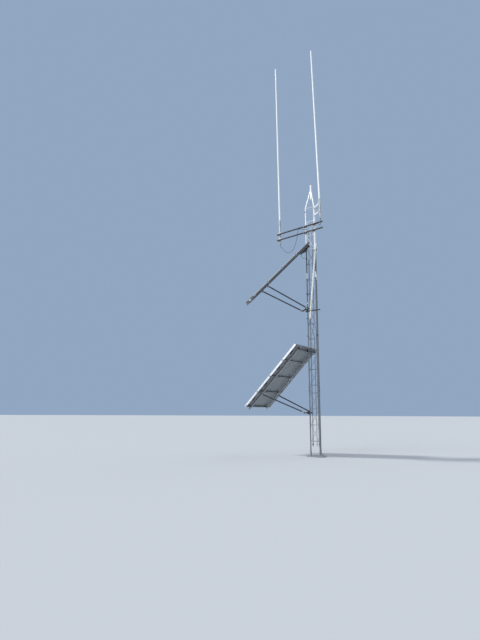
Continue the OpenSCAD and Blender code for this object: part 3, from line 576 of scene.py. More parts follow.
# %% What a solar module is made of
def laminate(name, colour, patch, fingers=None):
    """Something that lies under the modules' glass: its colour, with the glass as a clear coat."""
    finish, tree, shader = new_finish(name)
    tone = mixed(tree, spread(tree, cloudy(tree, 9.0, 4.0), 0.35, 0.7), colour, patch)
    if fingers:
        lines = spread(tree, striped(tree, fingers, "X"), 0.90, 0.99, 0.0, 0.35)
        tone = mixed(tree, lines, tone, (0.30, 0.31, 0.33))
    dress(tree, shader, tone, spread(tree, cloudy(tree, 30.0, 3.0), 0.3, 0.7, 0.22, 0.34),
          cloudy(tree, 900.0, 2.0), 0.0001, 0.25, Coat_Weight=1.0, Coat_Roughness=0.05)
    return finish


cell_silicon = laminate("cell_silicon", (0.012, 0.017, 0.042), (0.020, 0.028, 0.062), 130.0)
module_white = laminate("module_white", (0.72, 0.73, 0.73), (0.64, 0.65, 0.66))
cell_ribbon = laminate("cell_ribbon", (0.56, 0.57, 0.58), (0.46, 0.47, 0.48))
print("three finishes under glass")


# %% Rubber and moulded plastic
def moulded(name, colour, dust_and_shade, rough, grain):
    """Moulded plastic or rubber with a fine grain and a little dust on it."""
    finish, tree, shader = new_finish(name)
    clouds = cloudy(tree, 18.0, 5.0)
    dress(tree, shader, mixed(tree, spread(tree, clouds, 0.48, 0.78, 0.0, 0.5), colour, dust_and_shade),
          spread(tree, clouds, 0.3, 0.7, rough - 0.08, rough + 0.14), cloudy(tree, grain, 2.0), 0.0003, 0.4)
    return finish


cable_rubber = moulded("cable_rubber", (0.022, 0.022, 0.024), (0.07, 0.068, 0.064), 0.5, 500.0)
tie_plastic = moulded("tie_plastic", (0.015, 0.015, 0.016), (0.05, 0.05, 0.048), 0.42, 700.0)
box_plastic = moulded("box_plastic", (0.060, 0.062, 0.066), (0.12, 0.118, 0.11), 0.5, 350.0)
# Painted shade: the modules' backs are white sheets, painted mid grey here for the shade they lie in. The
# upper array's backs are painted darker and browner still.
back_sheet = moulded("back_sheet", (0.25, 0.275, 0.295), (0.19, 0.21, 0.225), 0.42, 240.0)
dark_back_sheet = moulded("dark_back_sheet", (0.115, 0.105, 0.098), (0.075, 0.068, 0.062), 0.5, 240.0)
clear_sealant = moulded("clear_sealant", (0.42, 0.42, 0.40), (0.30, 0.30, 0.28), 0.3, 300.0)
cap_plastic = moulded("cap_plastic", (0.80, 0.79, 0.74), (0.55, 0.54, 0.50), 0.45, 400.0)
print("finishes:", len(bpy.data.materials))

# %% [markdown]
# ### Give each solid its finish
#
# A solid keeps its shape and only gets a material in its slot. The names tell which group each solid
# belongs to, so one table of finishes and name parts covers them all: a solid takes the first finish that
# names it. The top section is bright down to the upper array and has painted shade below it, and the two
# sections below it are dull, as the photograph shows.

# %% Finishes for the solids
finish_of = [
    (top_zinc_painted_shade, "top_leg top_lattice"),
    (bright_zinc, "top_pole upper_sleeves bracket"),
    (weathered_zinc, "lower_sleeves base_l middle_l"),
    (footing_zinc, "base_plate"),
    (clamp_zinc, "arm_clamps whip_clamps side_tube_clamp"),
    (pipe_zinc_painted_shade, "upper_arm lower_arm hanger struts foot_pipe front_bar"),
    (sleeve_aluminium, "whip_sleeve"),
    (white_fibreglass, "radome"),
    (white_pipe, "side_tube"),
    (frame_bronze, "upper_module"),
    (frame_anodised, "lower_module"),
    (channel_zinc, "upper_rails lower_rails"),
    (box_plastic, "junction_box"),
    (connector_nickel, "connectors"),
    (cable_rubber, "feeder jumper cable"),
]

for name, solid in solids.items():
    finish = next(finish for finish, parts in finish_of if any(part in name for part in parts.split()))
    solid.data.materials.clear()
    solid.data.materials.append(None)
    solid.material_slots[0].link = "OBJECT"
    solid.material_slots[0].material = finish
for piece in (left_coax, right_coax, left_boot, right_boot):
    piece.data.materials.append(cable_rubber)
print("dressed", len(solids), "solids")

# %% [markdown]
# ## Lattice details
#
# Each bracing rod is welded to the legs at both ends. A bead of weld is a short lumpy cone between rod
# and leg, so that is what each is here, with a little random size. The section joints have bolts through
# their sleeves, and the base has anchor bolts with large washers.

# %% Weld beads
def spun(degrees):
    """A turn round the Z axis."""
    return Matrix.Rotation(math.radians(degrees), 4, "Z")


random.seed(7)
rod_end, bay_h = side_w / 2 - leg_r, 0.4064
base_rungs, middle_rungs, top_rungs = (
    [first + bay_h * k for k in range(count)] for first, count in ((0.3812, 4), (1.8036, 8), (5.0744, 5)))

for name, rungs, bays, finish in (("base_welds", base_rungs, 3, weathered_zinc),
                                  ("middle_welds", middle_rungs, 7, weathered_zinc),
                                  ("top_welds", top_rungs, 3, top_zinc_painted_shade)):
    work = bmesh.new()
    for side in range(3):
        rods = [((-rod_end, z), (rod_end, z)) for z in rungs]
        rods += [((rod_end - 0.002, rungs[i]), (0.002 - rod_end, rungs[i + 1])) for i in range(bays)]
        for start, end in rods:
            a, b = (spun(120 * side) @ Vector((x, front_y, z)) for x, z in (start, end))
            for tip, away in ((a, b), (b, a)):
                run = (away - tip).normalized()
                size = random.uniform(0.0068, 0.0084)
                add_turned(work, set_along(run, tip - 0.0015 * run), [
                    (size, 0.0), (size * 0.92, 0.0025), (0.0056, 0.005), (rod_r * 1.02, 0.0075)], 8)
    finish_piece(work, name, finish)


# %% Bolts through the sleeves
def add_rod(work, a, b, radius, end_radius=None, sides=12):
    """A round bar, or a cone, from point a to point b."""
    a, b = Vector(a), Vector(b)
    bmesh.ops.create_cone(work, cap_ends=True, segments=sides, radius1=radius,
                          radius2=radius if end_radius is None else end_radius,
                          depth=(b - a).length, matrix=set_along(b - a, (a + b) / 2))


def add_bolt(work, place, size, tail=0.0, washer=True):
    """A hex head or nut on the place's plane, with its washer and the thread's end above it.

    Its size is its width across the flats, its height and the radius of the thread.
    """
    across, head, thread_r = size
    base = 0.0016 if washer else 0.0
    if washer:
        add_rod(work, place.translation, place @ Vector((0, 0, base)), across * 0.95, sides=20)
    add_turned(work, place, [(across / 2 * 1.08, base), (across / 2 * 1.15, base + head * 0.15),
                             (across / 2 * 1.15, base + head * 0.85), (across / 2 * 0.98, base + head)], 6)
    if tail:
        add_turned(work, place, [(thread_r, base + head * 0.5), (thread_r, base + head + tail * 0.8),
                                 (thread_r * 0.75, base + head + tail)], 10)


sleeve_r = leg_r + 0.0003 + 0.003
sleeve_bolt = (0.015, 0.006, 0.004)
for name, joint_z, finish in (("lower_sleeve_bolts", 1.702, weathered_zinc),
                              ("upper_sleeve_bolts", 4.750, bright_zinc)):
    work = bmesh.new()
    for turn in legs:
        for height in (-0.045, 0.045):
            for out, tail in ((round_the_axis(1, turn), 0), (-round_the_axis(1, turn), 0.008)):
                spot = leg_at(turn, joint_z + height) + (sleeve_r - 0.0006) * out
                add_bolt(work, set_along(out, spot), sleeve_bolt, tail)
    finish_piece(work, name, finish)

# %% Anchor bolts, and the weld round each socket
plate_t, bolt_circle_r = 0.016, 0.240
socket_r = leg_r + 0.0003 + 0.004
anchor_nut = (0.030, 0.016, 0.010)
bolts, welds = bmesh.new(), bmesh.new()
for turn in legs:
    place = at(round_the_axis(bolt_circle_r, turn, plate_t))
    add_rod(bolts, place @ Vector((0, 0, -0.015)), place @ Vector((0, 0, 0.030)), 0.010, sides=16)
    add_turned(bolts, place, [(0.022, 0), (0.022, 0.004), (0.0215, 0.0045)])
    add_bolt(bolts, place @ at((0, 0, 0.0045)), anchor_nut, 0.022, washer=False)
    add_turned(welds, at(leg_at(turn, plate_t - 0.0005)), [
        (socket_r + 0.007, 0), (socket_r + 0.0065, 0.002), (socket_r + 0.002, 0.006),
        (socket_r - 0.0005, 0.008)], 32)
finish_piece(bolts, "anchor_bolts", clamp_zinc)
finish_piece(welds, "socket_welds", footing_zinc)

# %% [markdown]
# The three bent legs meet the pole in a thick weld. Each leg is cut off flat, so at its sides there is a
# gap to the round pole, which the weld fills. A lumpy bead therefore follows the cut's long oval, and it
# is as deep at each point as the gap is there. A cap keeps the rain out of the pole. It is a turned
# shape: a rim that grips the pole and a low dome.

# %% The pole's welds and cap
pole_r = 0.0483 / 2
bend_z, apex_z, pole_top_z = 6.700, 7.180, 7.390
bead_steps = 72


def seam_at(turn, c, s):
    """The middle of the gap between a leg's end and the pole, at a step round the leg, and half the gap."""
    run = (round_the_axis(pole_r, turn, apex_z) - leg_at(turn, bend_z)).normalized()
    aside, rise = leg_r * s, leg_r * c / math.hypot(run.x, run.y)
    half_gap = (pole_r - math.sqrt(pole_r ** 2 - aside ** 2)) / 2
    side = round_the_axis(1, turn + math.pi / 2)
    return round_the_axis(pole_r - half_gap, turn, apex_z + rise) + aside * side, half_gap


work = bmesh.new()
for turn in legs:
    seam = [seam_at(turn, c, s) for c, s in circle(bead_steps)]
    rings = []
    for k, (spot, half_gap) in enumerate(seam):
        run = (seam[(k + 1) % bead_steps][0] - seam[k - 1][0]).normalized()
        out = round_the_axis(1, turn)
        out = (out - out.dot(run) * run).normalized()
        size = random.uniform(0.0030, 0.0036) + (0.0008 if k % 3 else 0)
        rings.append(ring(work, at(spot), [(size + half_gap) * c * out + size * s * run.cross(out)
                                           for c, s in circle(10)]))
    skin(work, rings, closed=True)
finish_piece(work, "pole_welds", bright_zinc)
work = bmesh.new()
add_turned(work, at((0, 0, pole_top_z)), [
    (pole_r + 0.0005, -0.030), (pole_r + 0.0025, -0.030), (pole_r + 0.0025, -0.002), (pole_r - 0.002, 0.0),
], 32)
finish_piece(work, "pole_cap", cap_plastic)

# %% [markdown]
# ## Cables, ties and boots
#
# A cable that runs down a mast is tied to each rung, so that the wind can't rub it through. A nylon tie
# is a flat strap round the rung and the cable. Seen in its own slanting plane, the rung and the cable are
# two ovals that touch, and a tight strap is the shortest loop round both, which is how it is made here.

# %% The cables' places inside the front side
lead_r = 0.008 / 2
coax_y = front_y + rod_r + coax_r + 0.00015
lead_y = front_y + rod_r + lead_r + 0.0002
cable_end_z = 0.300
all_rungs = base_rungs + middle_rungs + top_rungs
runs_down = [
    (-0.060, coax_y, coax_r, [z for z in all_rungs if z < 5.8]),
    (0.050, coax_y, coax_r, [z for z in all_rungs if z < 5.8 and not 2.9 < z < 3.5]),
    (-0.082, lead_y, lead_r, [z for z in all_rungs if z < 5.07]),
    (0.108, lead_y, lead_r, [z for z in all_rungs if z < 3.17]),
]
ties = sum(len(rungs) for x, y, cable_r, rungs in runs_down)
print(ties, "ties hold", len(runs_down), "cables to the rungs")


# %% Ties at the rungs
def set_on(spot, x_axis, y_axis):
    """A place whose X and Y axes point along two directions that are square to each other."""
    x, y = Vector(x_axis).normalized(), Vector(y_axis).normalized()
    return at(Vector(spot)) @ Matrix((x, y, x.cross(y))).transposed().to_4x4()


def add_block(work, place, size, bevel=0.0008):
    """A block with eased edges, centred on a place with its own axes.

    Each side is drawn in by the bevel, so that every corner has a point on three sides. A triangle joins
    those three, and a narrow strip joins two sides along an edge. Blender's own bevel makes the same
    shape, but it numbers the points in another order each time.
    """
    square = ((-1, -1), (1, -1), (1, 1), (-1, 1))
    corners = [(x, *yz) for x in (-1, 1) for yz in square]
    sides = [{corner: work.verts.new(place @ Vector([
        sign * (size[i] / 2 - (0 if i == axis else bevel)) for i, sign in enumerate(corner)]))
        for corner in corners} for axis in range(3)]
    for corner in corners:
        work.faces.new([side[corner] for side in sides])
    for axis in range(3):
        low, high = ([tuple((end, *uv)[i - axis] for i in range(3)) for uv in square] for end in (-1, 1))
        for end in (low, high):
            work.faces.new([sides[axis][corner] for corner in end])
        one, other = sides[axis - 2], sides[axis - 1]
        for a, b in zip(low, high):
            work.faces.new((one[a], one[b], other[b], other[a]))


def add_strap(work, place, ovals, width, wall=0.0013, gap=0.0002, count=28):
    """A strap pulled tight round ovals (x, y, half width, half height) in the place's XY plane."""
    loop = [(d, h * width / 2) for d, h in ((gap, -1), (gap + wall, -1), (gap + wall, 1), (gap, 1))]
    rings = []
    for c, s in circle(count):
        x, y, wide, high = max(ovals, key=lambda o: o[0] * c + o[1] * s + math.hypot(o[2] * c, o[3] * s))
        reach = math.hypot(wide * c, high * s)
        x, y = x + wide * wide * c / reach, y + high * high * s / reach
        rings.append(ring(work, place, [(x + d * c, y + d * s, h) for d, h in loop]))
    skin(work, rings, closed=True)


def add_lock(work, place):
    """The square lock of a tie, and the end of its strap."""
    add_block(work, place, (0.0060, 0.0042, 0.0066))
    add_block(work, place @ at((0.0058, -0.0006, 0)), (0.0070, 0.0012, 0.0046), 0.0003)


slant = math.sqrt(2)
work = bmesh.new()
for x, y, cable_r, rungs in runs_down:
    for z in rungs:
        place = set_on((x, front_y, z), (1, 0, -1), (0, 1, 0))
        rod, cable = (0, 0, rod_r * slant, rod_r), (0, y - front_y, cable_r * slant, cable_r)
        add_strap(work, place, [rod, cable], 0.0046)
        add_lock(work, place @ at((0, y - front_y + cable_r + 0.0030, 0)))
finish_piece(work, "rung_ties", tie_plastic)

# %% Ties under the upper arm
work = bmesh.new()
for x in (-0.344, -0.318, 0.250, 0.229):
    place = set_on((x, arm_y, upper_arm_z), (0, 1, 0), (0, 0, 1))
    arm, coax = (0, 0, pipe_r, pipe_r), (0, -coax_drop, coax_r, coax_r)
    add_strap(work, place, [arm, coax], 0.0076, 0.0015, count=48)
    add_lock(work, place @ spun(60) @ at((0, pipe_r + 0.0035, 0)))
finish_piece(work, "arm_ties", tie_plastic)

# %% [markdown]
# Where a cable meets its connector, a tapered rubber boot keeps the rain out and stops a sharp bend. The
# four cables end low in the base section, in connectors with screw caps, ready for the equipment. A fifth
# leaves the low end of the white side tube, whose axis is therefore worked out first.

# %% Boots and screw caps
tube_r = 0.045 / 2
tube_top = Vector((0.180, front_y - leg_r - clamp_t - tube_r, 5.418))
tube_foot = Vector((-0.002, front_y - leg_r - 0.025 - tube_r, 3.763))
tube_run = (tube_top - tube_foot).normalized()
tube_end, tube_tip = tube_foot - 0.202 * tube_run, tube_top + 0.176 * tube_run

boots, caps = bmesh.new(), bmesh.new()
add_boot(boots, tube_end - connector_l * tube_run, -tube_run, lead_r)
for x, y, cable_r, rungs in runs_down:
    add_boot(boots, (x, y, cable_end_z), (0, 0, 1), cable_r)
    cap = at((x, y, cable_end_z - connector_l))
    add_turned(caps, cap, [(0.0085, -0.005), (0.0102, -0.004), (0.0106, 0.000), (0.0106, 0.013),
                           (0.0101, 0.0135)])
    for k in range(12):
        add_block(caps, cap @ spun(30 * k) @ at((0.0107, 0, 0.006)), (0.0008, 0.0022, 0.011), 0.0002)
finish_piece(boots, "cable_boots", cable_rubber)
finish_piece(caps, "connector_caps", connector_nickel)

# %% [markdown]
# ## The legs' clips
#
# Small dark clips stand off the outer side of the legs. Each is a black nylon band round the tube, with a
# foot and a stub that a cable could be tied to. Two narrow steel bands sit close together higher up. All
# are built round the leg they grip, so that they can't float beside it.

# %% Clips and bands on the legs
def add_band(work, place, inner, wall, width, sides=28):
    """A flat band round the place's Z axis, such as a collar, hose clamp or strap."""
    outer, half = inner + wall, width / 2
    loop = [(inner, -half), (outer, -half + wall * 0.3), (outer, half - wall * 0.3), (inner, half)]
    skin(work, [ring(work, place, [(r * c, r * s, h) for r, h in loop]) for c, s in circle(sides)],
         closed=True)


def box_outline(x0, y0, x1, y1):
    """The outline of a rectangle between two corners."""
    return [(x0, y0), (x1, y0), (x1, y1), (x0, y1)]


def add_slab(work, outline, low, high, place=Matrix()):
    """A flat plate with any outline of (x, y) points, between two heights."""
    skin(work, [ring(work, place, [(x, y, z) for x, y in outline]) for z in (low, high)])


clip_heights = [(LEFT, 6.600), (LEFT, 4.250), (LEFT, 3.570), (LEFT, 3.100), (RIGHT, 3.100)]
clip_turns = {LEFT: math.radians(223), RIGHT: math.radians(43)}
m6_head = (0.010, 0.004, 0.003)
work = bmesh.new()
for leg, z in clip_heights:
    out = round_the_axis(1, clip_turns[leg])
    add_band(work, at(leg_at(leg, z)), leg_r + 0.0003, 0.0018, 0.016)
    place = set_along(out, leg_at(leg, z) + (leg_r + 0.001) * out)
    add_slab(work, box_outline(-0.007, -0.012, 0.007, 0.012), 0, 0.010, place)
    add_rod(work, place @ Vector((0, 0, 0.009)), place @ Vector((0, 0, 0.019)), 0.0075, 0.0060, 16)
    add_bolt(work, place @ at((0, 0, 0.0185)), m6_head, 0.002, washer=False)
finish_piece(work, "leg_clips", tie_plastic)
work = bmesh.new()
for z in (4.020, 3.985):
    place = at(leg_at(LEFT, z))
    add_band(work, place, leg_r + 0.0003, 0.0009, 0.014, 32)
    add_block(work, place @ at((leg_r + 0.004, 0, 0)), (0.008, 0.016, 0.012))
finish_piece(work, "leg_bands", band_steel)

# %% [markdown]
# ## The solar arrays
#
# Both arrays are the same design: four modules in a row on two steel channels, which hang from a cross
# pipe on the left leg and lean on two struts. All that differs is a handful of numbers, so they stand in
# one table. Each array gets axes of its own, X down the slope, Y level and Z out of the face, and its
# pieces are built flat in those axes and then turned into place as a whole.

# %% The arrays' numbers
module_l, module_step, module_t = 0.537, 0.557, 0.050
module_starts = [module_step * n for n in range(4)]
row_l = module_starts[-1] + module_l
rail_w, hanger_x, hanger_level = 0.041, 0.060, -0.1122
clamp_reach = leg_r + clamp_t + pipe_r
arrays = {
    "upper": dict(turn=math.radians(235), tilt=math.radians(46), hanger_z=5.490, foot_z=3.835,
                  half=0.839 / 2, rails=0.570 / 2, feet=(0.100, -0.290), back=dark_back_sheet),
    "lower": dict(turn=math.radians(187.5), tilt=math.radians(45), hanger_z=2.715, foot_z=1.095,
                  half=1.209 / 2, rails=0.820 / 2, feet=(0.195, -0.195), back=back_sheet),
}


def pipe_middle(a, height):
    """The middle of an array's cross pipe or foot pipe, beside the left leg."""
    return leg_at(LEFT, a[height]) + round_the_axis(clamp_reach, a["turn"])


def array_place(a):
    """The array's own axes, with their origin at the top edge of its face."""
    down = math.cos(a["tilt"]) * round_the_axis(1, a["turn"]) - Vector((0, 0, math.sin(a["tilt"])))
    across = round_the_axis(1, a["turn"] + math.pi / 2)
    origin = pipe_middle(a, "hanger_z") - hanger_x * down - hanger_level * down.cross(across)
    return set_on(origin, down, across)


def finish_flat(work, name, what, finish):
    """Finishes a piece that was built in an array's own axes."""
    finish_piece(work, name + "_" + what, finish, array_place(arrays[name]))


for name, a in arrays.items():
    print(name, "array reaches down to z", round((array_place(a) @ Vector((row_l, 0, -module_t))).z, 3))

# %% [markdown]
# ### The modules' faces
#
# Under the glass of a module lie 36 silicon cells on a white sheet, four across and nine along. A cell is
# cut from a round crystal, which is why its corners are missing, and two flat ribbons join each row.
# These are real thin shapes here, not a picture: they keep their edges at any distance.

# %% Sheets and cells
edge, cell_margin = 0.0029, 0.015
cell_w, cell_step, cell_gap = 0.125, 0.128, 0.003


def module_outline(x0, half, inset):
    """The outline of a module that starts at x0, or one inside it."""
    return box_outline(x0 + inset, inset - half, x0 + module_l - inset, half - inset)


def cell_rows(x0):
    """The middles of a module's four rows of cells."""
    return [x0 + module_l / 2 + (i - 1.5) * cell_step for i in range(4)]


def cell_outline(x, y, wide, long, corner=0.010):
    """A rectangle without its corners."""
    w, l = wide / 2, long / 2
    return [(x + u, y + v) for u, v in (
        (w, l - corner), (w - corner, l), (corner - w, l), (-w, l - corner),
        (-w, corner - l), (corner - w, -l), (w - corner, -l), (w, corner - l))]


for name, a in arrays.items():
    pitch = 2 * (a["half"] - cell_margin) / 9
    sheets, cells = bmesh.new(), bmesh.new()
    for x0 in module_starts:
        add_slab(sheets, module_outline(x0, a["half"], edge), -0.00195, -0.00150)
        for x in cell_rows(x0):
            for j in range(9):
                cell = cell_outline(x, (j - 4) * pitch, cell_w, pitch - cell_gap)
                add_slab(cells, cell, -0.00160, -0.00130)
    finish_flat(sheets, name, "sheets", module_white)
    finish_flat(cells, name, "cells", cell_silicon)

# %% Ribbons
for name, a in arrays.items():
    long_end, cross_end = a["half"] - 0.012, a["half"] - 0.0105
    work = bmesh.new()
    for x0 in module_starts:
        rows = cell_rows(x0)
        for row in rows:
            for x in (row - 0.031, row + 0.031):
                add_slab(work, box_outline(x - 0.0009, -long_end, x + 0.0009, long_end), -0.00132, -0.00118)
        for y, i0, i1 in ((-cross_end, 0, 1), (-cross_end, 2, 3), (cross_end, 1, 2)):
            add_slab(work, box_outline(rows[i0] - 0.034, y - 0.002, rows[i1] + 0.034, y + 0.002),
                     -0.00132, -0.00120)
    finish_flat(work, name, "ribbons", cell_ribbon)

# %% [markdown]
# ### The modules' frames and backs
#
# An aluminium frame grips the glass with a narrow lip all round, cut at 45 degrees in the corners, where
# fine lines show between the four bars. A bright bead runs along the top of each side: it is a painted
# highlight, in place of the sun's glint on the frames' top edges, and from the ground it draws a thin
# bright line along the upper array. The back is a plastic sheet with a junction box.

# %% The frames' lips, and their strips of painted highlight
wall, lip, seam = 0.0024, 0.0100, 0.0002
for name, a in arrays.items():
    work = bmesh.new()
    for x0 in module_starts:
        outer, inner = ([Vector(p) for p in module_outline(x0, a["half"], inset)] for inset in (wall, lip))
        for i in range(4):
            j = (i + 1) % 4
            run = (outer[j] - outer[i]).normalized() * seam
            bar = [outer[i] + run, outer[j] - run, inner[j] - run, inner[i] + run]
            add_slab(work, bar, -0.0011, -0.0001)
        # Painted highlight: a bright strip along the top of each side, in place of the sun's glint on the
        # frame's edge.
        for side in (-1, 1):
            bead = at((x0 + module_l / 2, side * (a["half"] + 0.0002), -0.0095))
            add_block(work, bead, (module_l - 0.006, 0.0016, 0.0175), 0.0006)
    finish_flat(work, name, "frame_lips_and_glint_strips", lip_anodised)

# %% Back sheets and junction boxes
for name, a in arrays.items():
    sheets, boxes = bmesh.new(), bmesh.new()
    for x0 in module_starts:
        add_slab(sheets, module_outline(x0, a["half"], edge), -0.0076, -0.0071)
        box = at((x0 + module_l / 2, a["half"] - 0.105, -0.0165))
        add_block(boxes, box, (0.118, 0.092, 0.018), 0.003)
        add_block(boxes, box @ at((0, 0, -0.0100)), (0.108, 0.082, 0.004), 0.0015)
        for side in (-1, 1):
            gland = [box @ Vector((side * 0.030, y, 0)) for y in (-0.045, -0.062)]
            add_rod(boxes, *gland, 0.0068, 0.0058, 16)
            add_block(boxes, box @ at((side * 0.061, 0, 0.002)), (0.006, 0.020, 0.010), 0.001)
    finish_flat(sheets, name, "backs", a["back"])
    finish_flat(boxes, name, "back_boxes", box_plastic)

# %% [markdown]
# ### The arrays' bolts and brackets
#
# Short plates join each frame to the next along the sides, and a longer plate sits in the middle of the
# low end. They are real fittings, placed and made bright where glints of sun mark the joints and the low
# end: painted highlight. Bolts hold each frame to the channels at four places. U-bolts hang the channels
# on the cross pipe, with their nuts inside the channels. The struts' heads turn on cross bolts between two
# ears.

# %% Plates over the joints between the frames, and at the low end
joint_xs = [x0 - 0.010 for x0 in module_starts[1:]] + [4 * module_step - 0.060]
# Painted highlight: these plates stand where glints of sun fall, and the low end's plate is in bright zinc.
for name, a in arrays.items():
    joints, low_end = bmesh.new(), bmesh.new()
    for x in joint_xs:
        for side in (-1, 1):
            spot = Vector((x, side * (a["half"] + 0.0012), -0.031))
            add_block(joints, at(spot), (0.060, 0.0024, 0.030))
            for along in (-0.019, 0.019):
                place = set_along((0, side, 0), spot + Vector((along, side * 0.0012, 0)))
                add_bolt(joints, place, m6_head, 0.002)
    spot = Vector((row_l + 0.0012, 0, -0.027))
    add_block(low_end, at(spot), (0.0024, 0.170, 0.038))
    for along in (-0.070, 0.070):
        add_bolt(low_end, set_along((1, 0, 0), spot + Vector((0.0012, along, 0))), m6_head, 0.002)
    finish_flat(joints, name, "joint_plates", clamp_zinc)
    finish_flat(low_end, name, "end_plate", bright_zinc)

# %% Bolts between frames and channels, and the U-bolts
upside_down = Matrix.Rotation(math.pi, 4, "X")
m8_head, m8_nut = (0.013, 0.0053, 0.004), (0.013, 0.0065, 0.004)


def add_wire(work, line, radius, sides=10):
    """A round bar bent along a line of points."""
    rings, across = [], None
    for i, spot in enumerate(line):
        run = (line[min(i + 1, len(line) - 1)] - line[max(i - 1, 0)]).normalized()
        across = across or run.orthogonal()
        across = (across - across.dot(run) * run).normalized()
        up = run.cross(across)
        rings.append(ring(work, at(spot), [radius * (c * across + s * up) for c, s in circle(sides)]))
    skin(work, rings)


def add_u_bolt(work, place, pipe, wire, leg, nut_at):
    """A U-bolt round a pipe on the place's Y axis. Its legs rise along Z and end in nuts."""
    reach = pipe + wire + 0.0003
    bend = [(reach * c, 0, reach * s) for c, s in circle(32)[16:] + circle(32)[:1]]
    add_wire(work, [place @ Vector(p) for p in [(-reach, 0, leg)] + bend + [(reach, 0, leg)]], wire)
    for side in (-reach, reach):
        add_bolt(work, place @ at((side, 0, nut_at)), m8_nut)


for name, a in arrays.items():
    work = bmesh.new()
    for y in (-a["rails"], a["rails"]):
        for x0 in module_starts:
            for x in (x0 + 0.011, x0 + 0.526):
                place = at((x, y, -module_t + 0.002))
                add_bolt(work, place, m8_head)
                add_bolt(work, place @ at((0, 0, -0.0045)) @ upside_down, m8_nut, 0.006)
        add_u_bolt(work, at((hanger_x, y, hanger_level)), pipe_r, 0.004, 0.040, 0.0238)
    finish_flat(work, name, "array_bolts", clamp_zinc)

# %% The struts' heads and feet
head_x, head_lift = 1.620, 0.0042
pivot_bolt = (0.015, 0.0065, 0.004)
for name, a in arrays.items():
    work = bmesh.new()
    slope = array_place(a)
    down, across, out = slope.to_3x3().col
    for y, foot_y in zip((a["rails"], -a["rails"]), a["feet"]):
        head = slope @ Vector((hanger_x + head_x, y, hanger_level + head_lift))
        foot = pipe_middle(a, "foot_z") + foot_y * across
        run = (head - foot).normalized()
        pin = run.cross(across).normalized()
        ears = set_on(head, down, across)
        grip = set_on(foot, round_the_axis(1, a["turn"]), (0, 0, 1))
        sleeve = set_along(run, foot + (pipe_r + 0.029) * run)
        add_block(work, ears @ at((0, 0, 0.0155)), (0.066, 0.050, 0.003))
        add_band(work, grip, pipe_r + 0.0003, 0.004, 0.046, 36)
        add_band(work, sleeve, 0.0172, 0.0038, 0.048, 32)
        for side in (-1, 1):
            tail = 0.005 if side > 0 else 0
            add_block(work, ears @ at((0.002, side * 0.0215, -0.002)), (0.046, 0.004, 0.038), 0.0015)
            add_bolt(work, set_along(side * across, head + side * 0.0235 * across - 0.004 * out),
                     pivot_bolt, tail)
            add_bolt(work, set_along(side * pin, sleeve.translation + side * 0.0205 * pin), m8_head, tail)
    finish_piece(work, name + "_strut_brackets", clamp_zinc)

# %% [markdown]
# ## Pipe ends, whips and the side tube
#
# The open pipe ends have black plastic plugs, which keep wasps and water out. Each whip stands in a turned
# sleeve: a collar and a bead of sealant close the gap round the fibreglass, and set screws grip it.

# %% Plugs in the pipe ends
work = bmesh.new()
ends = [(Vector((0, arm_y, z)), Vector((1, 0, 0)), -1.120, 0.430) for z in (upper_arm_z, lower_arm_z)]
for a in arrays.values():
    across = round_the_axis(1, a["turn"] + math.pi / 2)
    reach = a["rails"] + rail_w / 2 + 0.040
    ends.append((pipe_middle(a, "hanger_z"), across, -reach, reach))
    ends.append((pipe_middle(a, "foot_z"), across, a["feet"][1] - 0.040, a["feet"][0] + 0.040))
for middle, along, low_end, high_end in ends:
    for way, end in ((-along, low_end), (along, high_end)):
        add_turned(work, set_along(way, middle + end * along), [
            (pipe_r - 0.0040, -0.014), (pipe_r - 0.0034, -0.001), (pipe_r - 0.0002, 0.0002),
            (pipe_r - 0.0006, 0.0016), (pipe_r * 0.55, 0.0030), (pipe_r * 0.20, 0.0034)], 28)
finish_piece(work, "pipe_plugs", tie_plastic)

# %% Collars, sealant and set screws of the whips
whips = [
    ("left", left_foot, left_axis, left_sleeve_r, 0.680),
    ("right", right_foot, right_axis, right_sleeve_r, 0.510),
]
set_screw = [(0.0052, 0), (0.0052, 0.0035), (0.0046, 0.0042), (0.0026, 0.0042), (0.0026, 0.0020)]
for name, foot, axis, grip_r, sleeve_h in whips:
    top = set_along(axis, foot + sleeve_h * axis)
    collar, sealant = bmesh.new(), bmesh.new()
    add_band(collar, top @ at((0, 0, 0.0046)), 0.0223, 0.0062, 0.009, 40)
    add_band(collar, top @ at((0, 0, -0.012)), grip_r + 0.0001, 0.0012, 0.006, 40)
    for height in (-0.030, -0.090):
        for k in range(3):
            out = (top.to_3x3() @ round_the_axis(1, math.radians(120 * k + 40))).normalized()
            add_turned(collar, set_along(out, top @ Vector((0, 0, height)) + (grip_r - 0.0005) * out),
                       set_screw, 16)
    add_turned(sealant, top, [(0.0228, 0.0088), (0.0245, 0.0095), (0.0233, 0.0125), (0.0221, 0.0150)], 32)
    finish_piece(collar, name + "_whip_collar", band_steel)
    finish_piece(sealant, name + "_whip_sealant", clear_sealant)

# %% [markdown]
# The white tube is closed at both ends with slip-on caps. Stainless worm-drive bands sit beside its two
# fixings: a slotted strap round the tube, with the screw in a small housing across it. One more grips the
# connector under each whip.

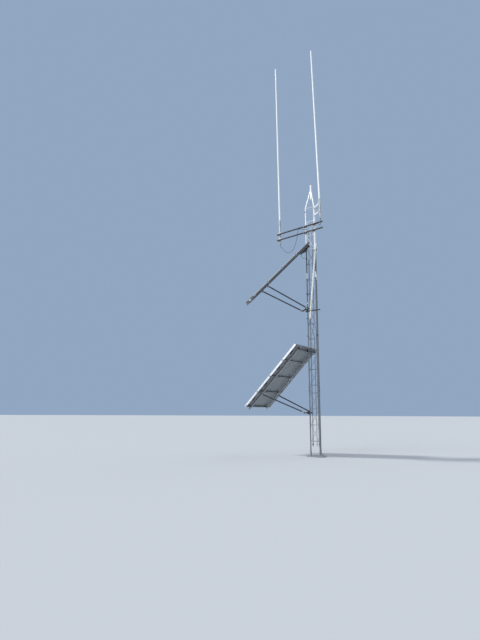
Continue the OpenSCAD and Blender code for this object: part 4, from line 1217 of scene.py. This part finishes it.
# %% The side tube's caps
work = bmesh.new()
add_turned(work, set_along(tube_run, tube_tip), [
    (tube_r + 0.0003, -0.040), (tube_r + 0.0018, -0.0395), (tube_r + 0.0018, -0.002), (tube_r, 0.0005),
    (tube_r * 0.5, 0.0022)], 32)
add_turned(work, set_along(-tube_run, tube_end), [
    (tube_r + 0.0003, -0.030), (tube_r + 0.0018, -0.0295), (tube_r + 0.0018, -0.001), (tube_r, 0.0010),
    (0.0115, 0.0012), (0.0115, 0.0040), (0.0108, 0.0045)], 32)
finish_piece(work, "side_tube_caps", cap_plastic)

# %% Worm-drive bands on the tube and on the whips' connectors
bands = [(tube_run, tube_foot + (z - tube_foot.z) / tube_run.z * tube_run, tube_r)
         for z in (3.700, 3.835, 4.150, 5.330, 5.500)]
bands += [(axis, foot - 0.020 * axis, 0.0100) for name, foot, axis, grip_r, sleeve_h in whips]
work = bmesh.new()
for axis, spot, radius in bands:
    place = set_along(axis, spot)
    housing = place @ at((radius + 0.0045, 0, 0))
    add_band(work, place, radius + 0.0001, 0.0009, 0.012, 36)
    add_block(work, housing, (0.008, 0.018, 0.011), 0.0018)
    add_rod(work, housing @ Vector((0, 0.008, 0)), housing @ Vector((0, 0.016, 0)), 0.0036, sides=6)
finish_piece(work, "worm_bands", band_steel)

# %% [markdown]
# ### The junction box
#
# The box on the upper cross pipe collects the array's current. Four screws hold its lid, and a gland nut
# squeezes a seal round the cable where it leaves.

# %% Lid screws and the gland nut
box_x, box_y, box_lid_z = 0.0812, 0.112, -0.1512
screws, gland = bmesh.new(), bmesh.new()
for x in (box_x + 0.008, box_x + 0.090):
    for y in (box_y - 0.061, box_y + 0.061):
        add_turned(screws, at((x, y, box_lid_z)) @ upside_down, [
            (0.0046, -0.001), (0.0046, 0.0012), (0.0036, 0.0024), (0.0016, 0.0027)], 16)
nut = set_along((1, 0, 0), (box_x + 0.095, box_y, hanger_level))
add_turned(gland, nut, [(0.0128, 0), (0.0128, 0.005), (0.0124, 0.0055)], 6)
add_turned(gland, nut, [(0.0105, 0.0055), (0.0122, 0.0065), (0.0122, 0.0150), (0.0100, 0.0185),
                        (0.0056, 0.0230)], 6)
add_block(gland, at((box_x + 0.047, box_y, box_lid_z + 0.0005)), (0.060, 0.086, 0.003), 0.001)
upper_place = array_place(arrays["upper"])
finish_piece(screws, "box_screws", band_steel, upper_place)
finish_piece(gland, "box_gland", box_plastic, upper_place)
